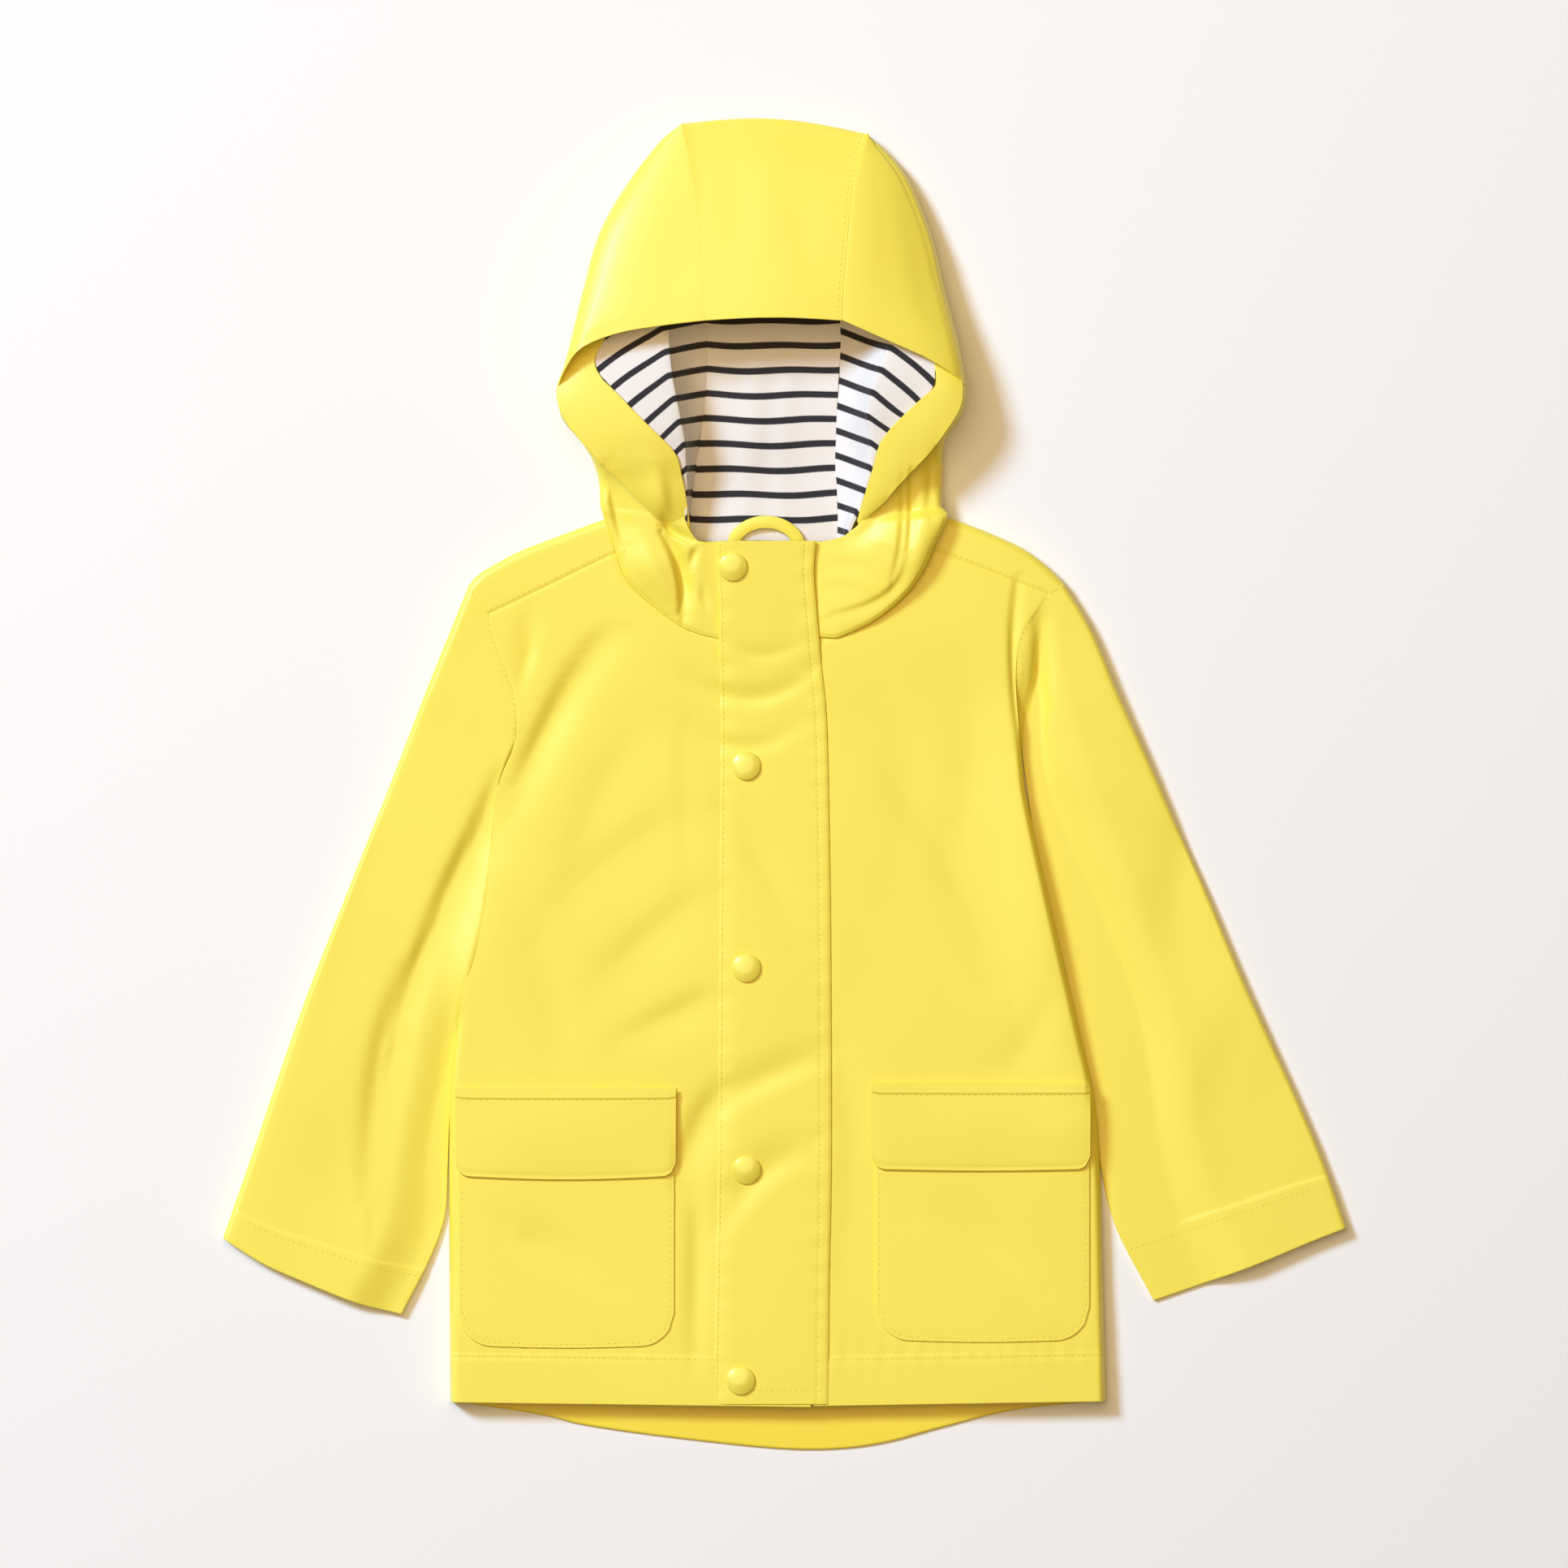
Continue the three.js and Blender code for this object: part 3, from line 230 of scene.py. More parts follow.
sideLining = {
    "left": table("backX backY ridgeX ridgeY ridgeZ edgeX edgeY edgeZ", [
        [-39.5, 243.5, -63.5, 243.5, 21, -92, 235, 18],
        [-40, 224.5, -63, 224.5, 22, -100.5, 218, 19.6],
        [-41, 207, -60.5, 208, 23.5, -90.5, 205.5, 22],
        [-42, 192, -56.5, 191, 23.8, -79.5, 193, 24],
        [-44.5, 176.5, -53, 177, 23.2, -68, 181.5, 24.5],
        [-46, 164, -51.5, 166.5, 20.5, -56.5, 169.5, 21.6],
        [-48, 152.5, -50.5, 153.5, 17, -52, 154, 17.4],
        [-49.3, 139, -50.6, 139.5, 15.5, -51.6, 140, 15.8],
        [-49.6, 127, -50.4, 127.5, 12.5, -51, 128, 12.8],
    ]),
    "right": table("backX backY ridgeX ridgeY ridgeZ edgeX edgeY edgeZ", [
        [28.5, 243.5, 56.5, 235, 26, 76.5, 224, 27],
        [28.5, 224.5, 54.5, 222.5, 26, 77, 212, 27],
        [28, 208, 48.5, 208, 26, 75.5, 203, 26.8],
        [26, 191, 44, 192, 25, 65.5, 193, 26],
        [26, 178.5, 44.5, 180.5, 23.2, 55.5, 184, 24.5],
        [26, 168, 44.5, 171, 21.6, 50, 175, 22.7],
        [26, 157.5, 42.5, 158, 18.8, 45.5, 158.5, 19.1],
        [26.3, 145, 39, 146.5, 15.6, 42, 147.5, 16.2],
        [26.8, 135, 34, 136, 14, 37, 137.5, 14.6],
        [27.2, 125, 30, 126.5, 12, 32.5, 127.5, 12.4],
    ]),
}
facing = {
    "left": table("edgeX edgeY edgeZ innerX innerY innerZ", [
        [-101, 234, 16.5, -90, 234, 18.5],
        [-108, 226, 17, -94.5, 227, 19.5],
        [-113.2, 216, 18.2, -98.5, 218, 20.8],
        [-117.2, 205, 20.6, -95, 209, 22.8],
        [-116.8, 195.5, 22.6, -87, 201, 24.4],
        [-112, 185, 23.4, -78, 191.5, 25.4],
        [-104.5, 175.5, 23.6, -68, 181.5, 25.4],
        [-94.5, 164.5, 22.8, -57, 170, 23.2],
        [-85, 155.5, 20.6, -53.5, 158.5, 20],
        [-74.5, 145, 18, -51, 145.5, 17],
        [-63, 132.5, 12.6, -49, 130, 12.4],
    ]),
    "right": table("edgeX edgeY edgeZ innerX innerY innerZ", [
        [80, 226, 22.5, 70, 226, 24.6],
        [86, 218, 23.8, 75, 220, 26],
        [90, 211, 25.2, 77.5, 213, 27.6],
        [91.3, 203, 26.8, 77.5, 204.5, 28.6],
        [89.8, 193, 27.2, 70.5, 198, 28.6],
        [82.5, 181, 26.8, 62.5, 190.5, 27.8],
        [74.5, 170.5, 25.2, 54.5, 182.5, 26.4],
        [65, 160.5, 23.4, 48.5, 173.5, 24.6],
        [57, 152, 21.4, 45.5, 163, 22.6],
        [50, 144, 19.2, 41.5, 150, 19.4],
        [38, 133.5, 13.5, 37, 135.5, 13.5],
    ]),
}
liningCentre = table("leftX rightX y", [
    [-43.5, 31, 283.5], [-40, 28.5, 233], [-42.5, 26, 189],
    [-46, 26, 164], [-49, 26.5, 140], [-49.5, 27.5, 124],
])
placketRows = table("leftX leftY rightX rightY", [
    [-35, 124.5, 15.5, 124.5],
    [-35, 111.5, 14.5, 109],
    [-34, 93, 16, 89],
    [-34, 69.5, 18.5, 61],
    [-33.5, 44, 21, 35.5],
    [-33.5, 9.5, 22, 2],
    [-34, -56.5, 23, -56.5],
    [-34.5, -132.5, 23.5, -132.5],
    [-35, -202, 23.5, -202],
    [-36, -257.5, 22.5, -257.5],
    [-37, -320.5, 22, -320.5],
])
snapPlaces = [(-27, 111.5), (-20, 9), (-20, -95.5), (-20, -200), (-23, -308.5)]
pockets = {
    "left": {"x0": -168.5, "x1": -57.5, "top": -168, "bottom": -290, "corner": 17, "dip": 1.5},
    "right": {"x0": 47, "x1": 157, "top": -168, "bottom": -287, "corner": 17, "dip": 1.5},
}
flaps = {
    "left": {"x0": -170, "x1": -56.5, "top": -158, "bottom": -202.5, "corner": 7, "dip": 2},
    "right": {"x0": 45, "x1": 157.5, "top": -155.5, "bottom": -199, "corner": 7, "dip": 1},
}

# Creases, each a soft trough (depth over 0) or ridge along a bent line. Lean makes one side steeper.
foldNames = "x0 y0 x1 y1 x2 y2 depth width lean"
bodyFolds = table(foldNames, [
    [-87.5, 78.5, -109, 55.5, -136.5, -1, 2.1, 8, 0.35],
    [-110, 54, -126, 24, -141, -8, 1.3, 8, 0.35],
    [-131, 88.5, -134, 73, -138, 54, 1.0, 6, 0],
    [-112.5, -19, -87, -56.5, -49.5, -119.5, 0.5, 14, 0.2],
    [-131, 74, -133, 64, -138, 48, 0.9, 2.5, 0],
    [-147, 6, -163, -30, -178, -62, 2.6, 11, 0.6],
    [-166, -36, -187, -84, -202, -128, 2.6, 12, 0.6],
    [-196, -98, -210, -144, -216, -215, 2.4, 13, 0.55],
    [120, 106.5, 117.5, 60, 123, 11.5, 1.9, 2.6, 0.3],
    [122, 20, 135, -62, 155, -172, -3.8, 20, 0],
    [-50, 55, -20, 43, 12, 55, 1.5, 5, 0.3],
    [-48, 30, -22, 18, 6, 29, 1.0, 5, 0.2],
    [-30, 74, -12, 66, 10, 74, 0.7, 4, 0.2],
    [40, 20, 80, -30, 110, -100, 1.4, 14, 0.3],
    [-50, -16, -84, -36, -122, -70, 1.1, 14, 0.3],
    [-42, -58, -68, -78, -100, -108, 1.1, 12, 0.3],
    [-38, -110, -56, -119, -84, -132, 1.3, 9, 0.3],
    [-52, 30, -52, 0, -50, -60, 0.45, 6, 0.2],
    [-140, -60, -120, -110, -118, -150, 1.0, 12, 0],
    [-70, 30, -96, -8, -112, -60, 0.9, 12, 0.2],
    [-33, -158, -46, -180, -54, -206, 2.2, 8, 0.3],
    [-34, -166, -8, -152, 18, -142, 1.7, 7, 0.3],
    [-32, -230, -14, -204, 12, -190, 1.7, 8, 0.3],
    [50, 40, 62, 0, 58, -60, 0.6, 12, 0],
    [92, 60, 96, 10, 84, -50, 0.7, 12, 0],
    [140, -100, 128, -130, 110, -150, 0.7, 9, 0],
    [-100, 60, -60, 20, -46, -40, -0.6, 16, 0],
    [24, -120, 34, -180, 30, -260, 0.6, 8, 0],
    [-47, -210, -46, -250, -48, -300, 1.5, 5, 0.2],
    [-140, -232, -120, -242, -96, -262, 1.3, 10, 0.3],
    [70, -220, 100, -236, 128, -262, 1.1, 11, 0.3],
    [-30, -10, -12, -40, 8, -84, 1.0, 10, 0.3],
])
sleeveFolds = table(foldNames, [
    [-160, -60, -172, -110, -186, -170, -0.8, 9, 0],
    [132, 84, 130, 42, 125, 4, 5.0, 3.6, 0.3],
    [130, 42, 127, 16, 128, -14, 3.6, 4, 0.3],
    [215, 0, 205, -40, 200, -85, 1.0, 12, 0],
    [-235, -40, -243, -90, -262, -150, -0.8, 12, 0],
    [-150, -30, -146, -34, -143, -38, 0.8, 4, 0],
    [240, -110, 226, -150, 214, -190, 0.6, 12, 0],
    [-205, 20, -212, -30, -226, -70, 0.5, 10, 0],
    [-240, -180, -232, -205, -224, -236, 0.5, 9, 0],
])


def mix(a, b, t):
    return a + (b - a) * t


def ease(low, high, value):
    t = np.clip((value - low) / (high - low), 0, 1)
    return t * t * (3 - 2 * t)


def bump(value, width):
    return np.exp(-(value / width) ** 2)


# Smooth way from b to c, with a before them and d after them
def smooth(a, b, c, d, f):
    return b + 0.5 * f * (c - a + f * (2 * a - 5 * b + 4 * c - d + f * (3 * (b - c) + d - a)))


# Smooth value of a table's column at row numbers with a fraction
def along(rows, name, t):
    values = rows[name]
    last = len(values) - 1
    t = np.clip(np.asarray(t, dtype=float), 0, last)
    i = np.minimum(np.floor(t).astype(int), last - 1)
    wide = np.concatenate([[2 * values[0] - values[1]], values, [2 * values[-1] - values[-2]]])
    a, b, c, d = (wide[i + k] for k in range(4))
    return np.clip(smooth(a, b, c, d, t - i), np.minimum(b, c) - overshoot, np.maximum(b, c) + overshoot)


def pointAt(rows, t, xName="x", yName="y"):
    return np.stack([along(rows, xName, t), along(rows, yName, t)], axis=-1)


def curveAt(rows, u):
    return pointAt(rows, np.asarray(u) * (count(rows) - 1))


# Length of each way in plan, and the way itself at length 1
def flat(points):
    return np.hypot(points[..., 0], points[..., 1])


def unit(ways):
    return ways / flat(ways)[:, None]


# The same for ways with a height
def direction(ways):
    return ways / (np.linalg.norm(ways, axis=-1, keepdims=True) + 1e-12)


def withHeight(place, height):
    return np.concatenate([place, np.broadcast_to(height, place.shape[:-1])[..., None]], axis=-1)


# Stops from start to end, close together beside the places in dense
def stops(start, end, step, dense=(), fine=0.35, reach=3.0):
    marks = [np.linspace(start, end, max(2, int(abs(end - start) / step) + 1))]
    for place in dense:
        spread = reach * np.linspace(-1, 1, int(2 * reach / fine)) ** 3
        marks.append(place + spread)
    every = np.unique(np.round(np.concatenate(marks), 4))
    every = every[(every > start + 0.02) & (every < end - 0.02)]
    keep = [start]
    for value in every:
        if value - keep[-1] > fine * 0.4:
            keep.append(value)
    return np.array(keep + [end])


# Depth of all creases in a table at each place
def foldsAt(folds, x, y):
    total = np.zeros_like(x)
    for k in range(count(folds)):
        row = {name: folds[name][k] for name in folds}
        reach = 3 * row["width"]
        xs = [row["x0"], row["x1"], row["x2"]]
        ys = [row["y0"], row["y1"], row["y2"]]
        near = (x > min(xs) - reach) & (x < max(xs) + reach)
        near &= (y > min(ys) - reach) & (y < max(ys) + reach)
        if not near.any():
            continue
        px, py = x[near], y[near]
        best = np.zeros_like(px)
        closest = np.full_like(px, 1e9)
        t = np.linspace(0, 1, 17)
        handleX = 2 * xs[1] - (xs[0] + xs[2]) / 2
        handleY = 2 * ys[1] - (ys[0] + ys[2]) / 2
        lineX = (1 - t) ** 2 * xs[0] + 2 * t * (1 - t) * handleX + t * t * xs[2]
        lineY = (1 - t) ** 2 * ys[0] + 2 * t * (1 - t) * handleY + t * t * ys[2]
        for i in range(16):
            ax, ay, bx, by = lineX[i], lineY[i], lineX[i + 1], lineY[i + 1]
            length = math.hypot(bx - ax, by - ay)
            share = np.clip(((px - ax) * (bx - ax) + (py - ay) * (by - ay)) / length ** 2, 0, 1)
            away = np.hypot(px - mix(ax, bx, share), py - mix(ay, by, share))
            side = np.sign((bx - ax) * (py - ay) - (by - ay) * (px - ax))
            wide = row["width"] * (1 + side * row["lean"])
            fade = 0.3 + 0.7 * np.sin(math.pi * np.clip((i + share) / 16, 0.02, 0.98))
            value = fade * np.exp(-(away / wide) ** 2)
            nearer = away < closest
            best = np.where(nearer, value, best)
            closest = np.where(nearer, away, closest)
        total[near] += row["depth"] * best
    return total


# Slow waves of cloth that isn't pulled tight
def waves(x, y, size):
    slow = np.sin(x / 23 + 0.9 * np.sin(y / 41)) * np.sin(y / 31 + 1.3)
    quicker = np.sin(x / 12 + y / 19 + 2.0 * np.sin(y / 57)) * np.sin(y / 15 - x / 40)
    return size * (slow + 0.35 * quicker)


def distanceTo(line, x, y):
    closest = np.full_like(x, 1e9)
    for (ax, ay), (bx, by) in zip(line[:-1], line[1:]):
        length = math.hypot(bx - ax, by - ay) + 1e-9
        share = np.clip(((x - ax) * (bx - ax) + (y - ay) * (by - ay)) / length ** 2, 0, 1)
        closest = np.minimum(closest, np.hypot(x - mix(ax, bx, share), y - mix(ay, by, share)))
    return closest


# Height of the coat's upper surface, before any edge rolls down
body = {
    "rise": 8.2, "neckRise": 2.0, "hemDip": -2.4, "sideRoll": 4.0, "sideSeam": 1.7, "wave": 0.3,
    "pucker": 0.1, "puckerPitch": 9.0, "neckPitch": 8.0, "seamDip": 0.3, "hemWidth": 25.0, "hemStep": 0.35,
    "hemGroove": 0.3, "hemStitch": 1.5,
    "lastRow": 54.0,  # from the last but one row of a front's table to its hem
}


def coatTop(x, y):
    x, y = np.asarray(x, dtype=float), np.asarray(y, dtype=float)
    neck = body["neckRise"] * ease(25, 85, y) * np.exp(-(x / 100) ** 2)
    low = -body["hemDip"] * ease(-200, -330, y)
    return body["rise"] + neck + low - foldsAt(bodyFolds, x, y) + waves(x, y, body["wave"])


# Two more lines close to each edge keep the rims crisp
def supported(values, ring=False):
    near = 0.06
    first, last = mix(values[:1], values[1:2], near), mix(values[-1:], values[-2:-1], near)
    values = np.concatenate([values[:1], first, values[1:-1], last, values[-1:]])
    if ring:
        return values
    first, last = mix(values[:, :1], values[:, 1:2], near), mix(values[:, -1:], values[:, -2:-1], near)
    return np.concatenate([values[:, :1], first, values[:, 1:-1], last, values[:, -1:]], axis=1)


# A grid's border as one closed line
def borderOf(grid):
    return np.concatenate([grid[0, :-1], grid[:-1, -1], grid[-1, :0:-1], grid[:0:-1, 0]])


rimRound = 0.45  # how far a rim bulges, as a share of the cloth's thickness


# A closed thin shell on a grid of outer points, with rounded rims
def shellParts(grid, thickness, ring=False):
    grid = supported(grid, ring)
    rows, cols = grid.shape[:2]
    down = np.empty_like(grid)
    down[1:-1] = grid[2:] - grid[:-2]
    down[0] = grid[1] - grid[0]
    down[-1] = grid[-1] - grid[-2]
    across = np.empty_like(grid)
    if ring:
        across = np.roll(grid, -1, axis=1) - np.roll(grid, 1, axis=1)
    else:
        across[:, 1:-1] = grid[:, 2:] - grid[:, :-2]
        across[:, 0] = grid[:, 1] - grid[:, 0]
        across[:, -1] = grid[:, -1] - grid[:, -2]
    normal = direction(np.cross(across, down))
    turn = 1 if normal[rows // 2, 1, 2] > 0 else -1
    thickness = np.broadcast_to(thickness, (rows, cols))[..., None]
    inner = grid - turn * normal * thickness
    points = [grid.reshape(-1, 3), inner.reshape(-1, 3)]
    ids = np.arange(rows * cols).reshape(rows, cols)
    faces = []

    def quads(a, b, c, d):
        block = np.stack([a, b, c, d], axis=-1).reshape(-1, 4)
        faces.append(block if turn > 0 else block[:, ::-1])

    following = np.roll(ids, -1, axis=1)
    kept = slice(None) if ring else slice(None, -1)
    a, b = ids[:-1, kept], ids[1:, kept]
    c, d = following[1:, kept], following[:-1, kept]
    quads(a, b, c, d)
    size = rows * cols
    quads(a + size, d + size, c + size, b + size)
    start = 2 * size

    def rim(line, outward):
        nonlocal start
        outer, under = points[0][line], points[1][line]
        thick = np.linalg.norm(outer - under, axis=-1, keepdims=True)
        points.append((outer + under) / 2 + direction(outward) * thick * rimRound)
        own = np.arange(start, start + len(line))
        start += len(line)
        there, ownThere = np.roll(line, -1), np.roll(own, -1)
        quads(line, there, ownThere, own)
        quads(own, ownThere, there + size, line + size)

    if ring:
        rim(ids[0], grid[0] - grid[1])
        rim(ids[-1, ::-1], (grid[-1] - grid[-2])[::-1])
    else:
        out = np.concatenate([
            (grid[0] - grid[1])[:-1],
            (grid[:, -1] - grid[:, -2])[:-1],
            (grid[-1] - grid[-2])[:0:-1],
            (grid[:, 0] - grid[:, 1])[:0:-1],
        ])
        corners = [0, cols - 1, cols + rows - 2, 2 * cols + rows - 3]
        spare = [
            grid[0, 0] - grid[0, 1], grid[0, -1] - grid[1, -1],
            grid[-1, -1] - grid[-1, -2], grid[-1, 0] - grid[-2, 0],
        ]
        out = direction(out)
        for corner, other in zip(corners, spare):
            out[corner] += direction(other)
        rim(borderOf(ids), out)
    points = np.concatenate(points)
    faces = np.concatenate(faces)
    p = points[faces]
    volume = np.einsum("ij,ij->i", p[:, 0], np.cross(p[:, 1], p[:, 2])).sum()
    volume += np.einsum("ij,ij->i", p[:, 0], np.cross(p[:, 2], p[:, 3])).sum()
    if volume < 0:
        faces = faces[:, ::-1]
    return points, faces


trees = {}


def addObject(name, mesh, material):
    mesh.materials.append(material)
    made = bpy.data.objects.new(name, mesh)
    bpy.context.scene.collection.objects.link(made)
    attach(made, "root")
    return made


# One object from several shells. Values, where given, are one number for each point.
def makePiece(name, shells, material, node, values=None, valueName="stripePlace"):
    points, faces, start = [], [], 0
    for shellPoints, shellFaces in shells:
        points.append(shellPoints)
        faces.append(shellFaces + start)
        start += len(shellPoints)
    points = np.concatenate(points)
    points[:, 2] = np.maximum(points[:, 2], 0)
    points = (points + tableShift) * mm
    faces = np.concatenate(faces)
    mesh = bpy.data.meshes.new(name)
    mesh.vertices.add(len(points))
    mesh.vertices.foreach_set("co", points.ravel())
    sizes = faces.shape[1]
    mesh.loops.add(faces.size)
    mesh.loops.foreach_set("vertex_index", faces.ravel().astype(np.int32))
    mesh.polygons.add(len(faces))
    mesh.polygons.foreach_set("loop_start", np.arange(0, faces.size, sizes, dtype=np.int32))
    mesh.polygons.foreach_set("use_smooth", np.ones(len(faces), dtype=bool))
    mesh.update(calc_edges=True)
    mesh.validate()
    if values is not None:
        layer = mesh.attributes.new(valueName, "FLOAT", "POINT")
        layer.data.foreach_set("value", values.astype(np.float32))
    made = addObject(name, mesh, material)
    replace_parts(made, node)
    trees[name] = BVHTree.FromPolygons([tuple(p) for p in points], faces.tolist())
    return made


# Materials
def newMaterial(name):
    material = bpy.data.materials.new(name)
    material.use_nodes = True
    nodes = material.node_tree.nodes
    return material, nodes, material.node_tree.links, nodes["Principled BSDF"]


# Fine grain of a coated or knitted cloth, and slow changes of tone over it
def clothGrainGroup():
    group = bpy.data.node_groups.new("clothGrain", "ShaderNodeTree")
    face = group.interface
    for socket, value in (("Grain Size", 1400.0), ("Tone Size", 9.0)):
        face.new_socket(name=socket, in_out="INPUT", socket_type="NodeSocketFloat").default_value = value
    face.new_socket(name="Grain", in_out="OUTPUT", socket_type="NodeSocketFloat")
    face.new_socket(name="Tone", in_out="OUTPUT", socket_type="NodeSocketFloat")
    nodes, links = group.nodes, group.links
    start, end = nodes.new("NodeGroupInput"), nodes.new("NodeGroupOutput")
    where = nodes.new("ShaderNodeTexCoord")
    fine, slow = nodes.new("ShaderNodeTexNoise"), nodes.new("ShaderNodeTexNoise")
    fine.inputs["Detail"].default_value = 3
    slow.inputs["Detail"].default_value = 2
    for noise, socket in ((fine, "Grain Size"), (slow, "Tone Size")):
        links.new(where.outputs["Object"], noise.inputs["Vector"])
        links.new(start.outputs[socket], noise.inputs["Scale"])
    links.new(fine.outputs["Fac"], end.inputs["Grain"])
    links.new(slow.outputs["Fac"], end.inputs["Tone"])
    return group


clothGrain = clothGrainGroup()


# Puts the grain group in a material and lets it drive the shader's fine bumps
def placeGrain(nodes, links, shader, look):
    grain = nodes.new("ShaderNodeGroup")
    grain.node_tree = clothGrain
    grain.inputs["Grain Size"].default_value = look["grainSize"]
    grain.inputs["Tone Size"].default_value = look["toneSize"]
    bumps = nodes.new("ShaderNodeBump")
    bumps.inputs["Strength"].default_value = look["bump"]
    bumps.inputs["Distance"].default_value = look["bumpHeight"]
    links.new(grain.outputs["Grain"], bumps.inputs["Height"])
    links.new(bumps.outputs["Normal"], shader.inputs["Normal"])
    return grain


def colourMix(nodes, first, second):
    node = nodes.new("ShaderNodeMix")
    node.data_type = "RGBA"
    node.inputs["A"].default_value = first
    node.inputs["B"].default_value = second
    return node


# The third colour is painted shade, used on the back's tail under the front hem
yellowLook = {
    "colour": (0.95, 0.80, 0.088, 1), "deep": (0.935, 0.775, 0.072, 1), "paintedTailShade": (0.94, 0.74, 0.04, 1),
    "roughness": 0.48, "roughnessSpread": 0.05, "specular": 0.6, "coat": 0.26, "coatRoughness": 0.42,
    "grainSize": 1500.0, "toneSize": 7.0, "bump": 0.12, "bumpHeight": 0.00008,
}


def coatedCloth(name, look):
    material, nodes, links, shader = newMaterial(name)
    grain = placeGrain(nodes, links, shader, look)
    tone = colourMix(nodes, look["colour"], look["deep"])
    links.new(grain.outputs["Tone"], tone.inputs["Factor"])
    # Painted shade: points valued 1 (the back's tail) take the deeper colour in place of the hem's shade
    paintedTailShade = nodes.new("ShaderNodeAttribute")
    paintedTailShade.attribute_name = "paintedTailShade"
    tailShaded = colourMix(nodes, look["colour"], look["paintedTailShade"])
    links.new(paintedTailShade.outputs["Fac"], tailShaded.inputs["Factor"])
    links.new(tone.outputs["Result"], tailShaded.inputs["A"])
    links.new(tailShaded.outputs["Result"], shader.inputs["Base Color"])
    rough = nodes.new("ShaderNodeMapRange")
    rough.inputs["To Min"].default_value = look["roughness"] - look["roughnessSpread"]
    rough.inputs["To Max"].default_value = look["roughness"] + look["roughnessSpread"]
    links.new(grain.outputs["Grain"], rough.inputs["Value"])
    links.new(rough.outputs["Result"], shader.inputs["Roughness"])
    shader.inputs["Specular IOR Level"].default_value = look["specular"]
    shader.inputs["Coat Weight"].default_value = look["coat"]
    shader.inputs["Coat Roughness"].default_value = look["coatRoughness"]
    return material


liningLook = {
    "white": (0.84, 0.79, 0.745, 1), "black": (0.022, 0.018, 0.022, 1),
    "pitch": 12.85, "width": 3.5, "first": 239.8, "edge": 0.25, "fuzz": 0.35, "fuzzShift": -0.17,
    "roughness": 0.9, "sheen": 0.15,
    "grainSize": 1100.0, "toneSize": 25.0, "bump": 0.3, "bumpHeight": 0.00012,
}


# Common sailor stripes across the hood, woven or printed on soft cotton
def stripedCotton(name, look):
    material, nodes, links, shader = newMaterial(name)
    place = nodes.new("ShaderNodeAttribute")
    place.attribute_name = "stripePlace"

    def step(operation, first, second):
        node = nodes.new("ShaderNodeMath")
        node.operation = operation
        for socket, value in ((node.inputs[0], first), (node.inputs[1], second)):
            if isinstance(value, (int, float)):
                socket.default_value = value
            else:
                links.new(value, socket)
        return node.outputs[0]

    grain = placeGrain(nodes, links, shader, look)
    moved = step("SUBTRACT", place.outputs["Fac"], look["first"] - look["pitch"] / 2)
    share = step("FLOORED_MODULO", moved, look["pitch"])
    away = step("ABSOLUTE", step("SUBTRACT", share, look["pitch"] / 2), 0)
    fuzz = step("MULTIPLY_ADD", grain.outputs["Grain"], look["fuzz"])
    fuzz.node.inputs[2].default_value = look["fuzzShift"]
    edge = nodes.new("ShaderNodeMapRange")
    edge.inputs["From Min"].default_value = look["width"] / 2 - look["edge"]
    edge.inputs["From Max"].default_value = look["width"] / 2 + look["edge"]
    links.new(step("ADD", away, fuzz), edge.inputs["Value"])
    colour = colourMix(nodes, look["black"], look["white"])
    links.new(edge.outputs["Result"], colour.inputs["Factor"])
    links.new(colour.outputs["Result"], shader.inputs["Base Color"])
    shader.inputs["Roughness"].default_value = look["roughness"]
    shader.inputs["Sheen Weight"].default_value = look["sheen"]
    return material


def plainMaterial(name, colour, roughness, coat=0.0, coatRoughness=0.06):
    material, nodes, links, shader = newMaterial(name)
    shader.inputs["Base Color"].default_value = colour
    shader.inputs["Roughness"].default_value = roughness
    shader.inputs["Coat Weight"].default_value = coat
    shader.inputs["Coat Roughness"].default_value = coatRoughness
    return material


coatCloth = coatedCloth("coatedCloth", yellowLook)
liningCloth = stripedCotton("stripedLining", liningLook)
threadMaterial = plainMaterial("sewingThread", (0.40, 0.27, 0.015, 1), 0.7)
print("materials made")


# One piece of coated cloth from its grids of outer points
def clothPiece(name, node, grids, thickness=clothThickness, ring=False):
    shells = [shellParts(grid, thickness, ring) for grid in grids]
    made = makePiece(name, shells, coatCloth, node)


# A patch between four edges in plan, u across and v along
def patch(top, bottom, left, right, u, v):
    a, b, c, d = top(u), bottom(u), left(v), right(v)
    p, q = top(np.zeros(1))[0], top(np.ones(1))[0]
    r, s = bottom(np.zeros(1))[0], bottom(np.ones(1))[0]
    u, v = u[..., None], v[..., None]
    return mix(a, b, v) + mix(c, d, u) - mix(mix(p, q, u), mix(r, s, u), v)


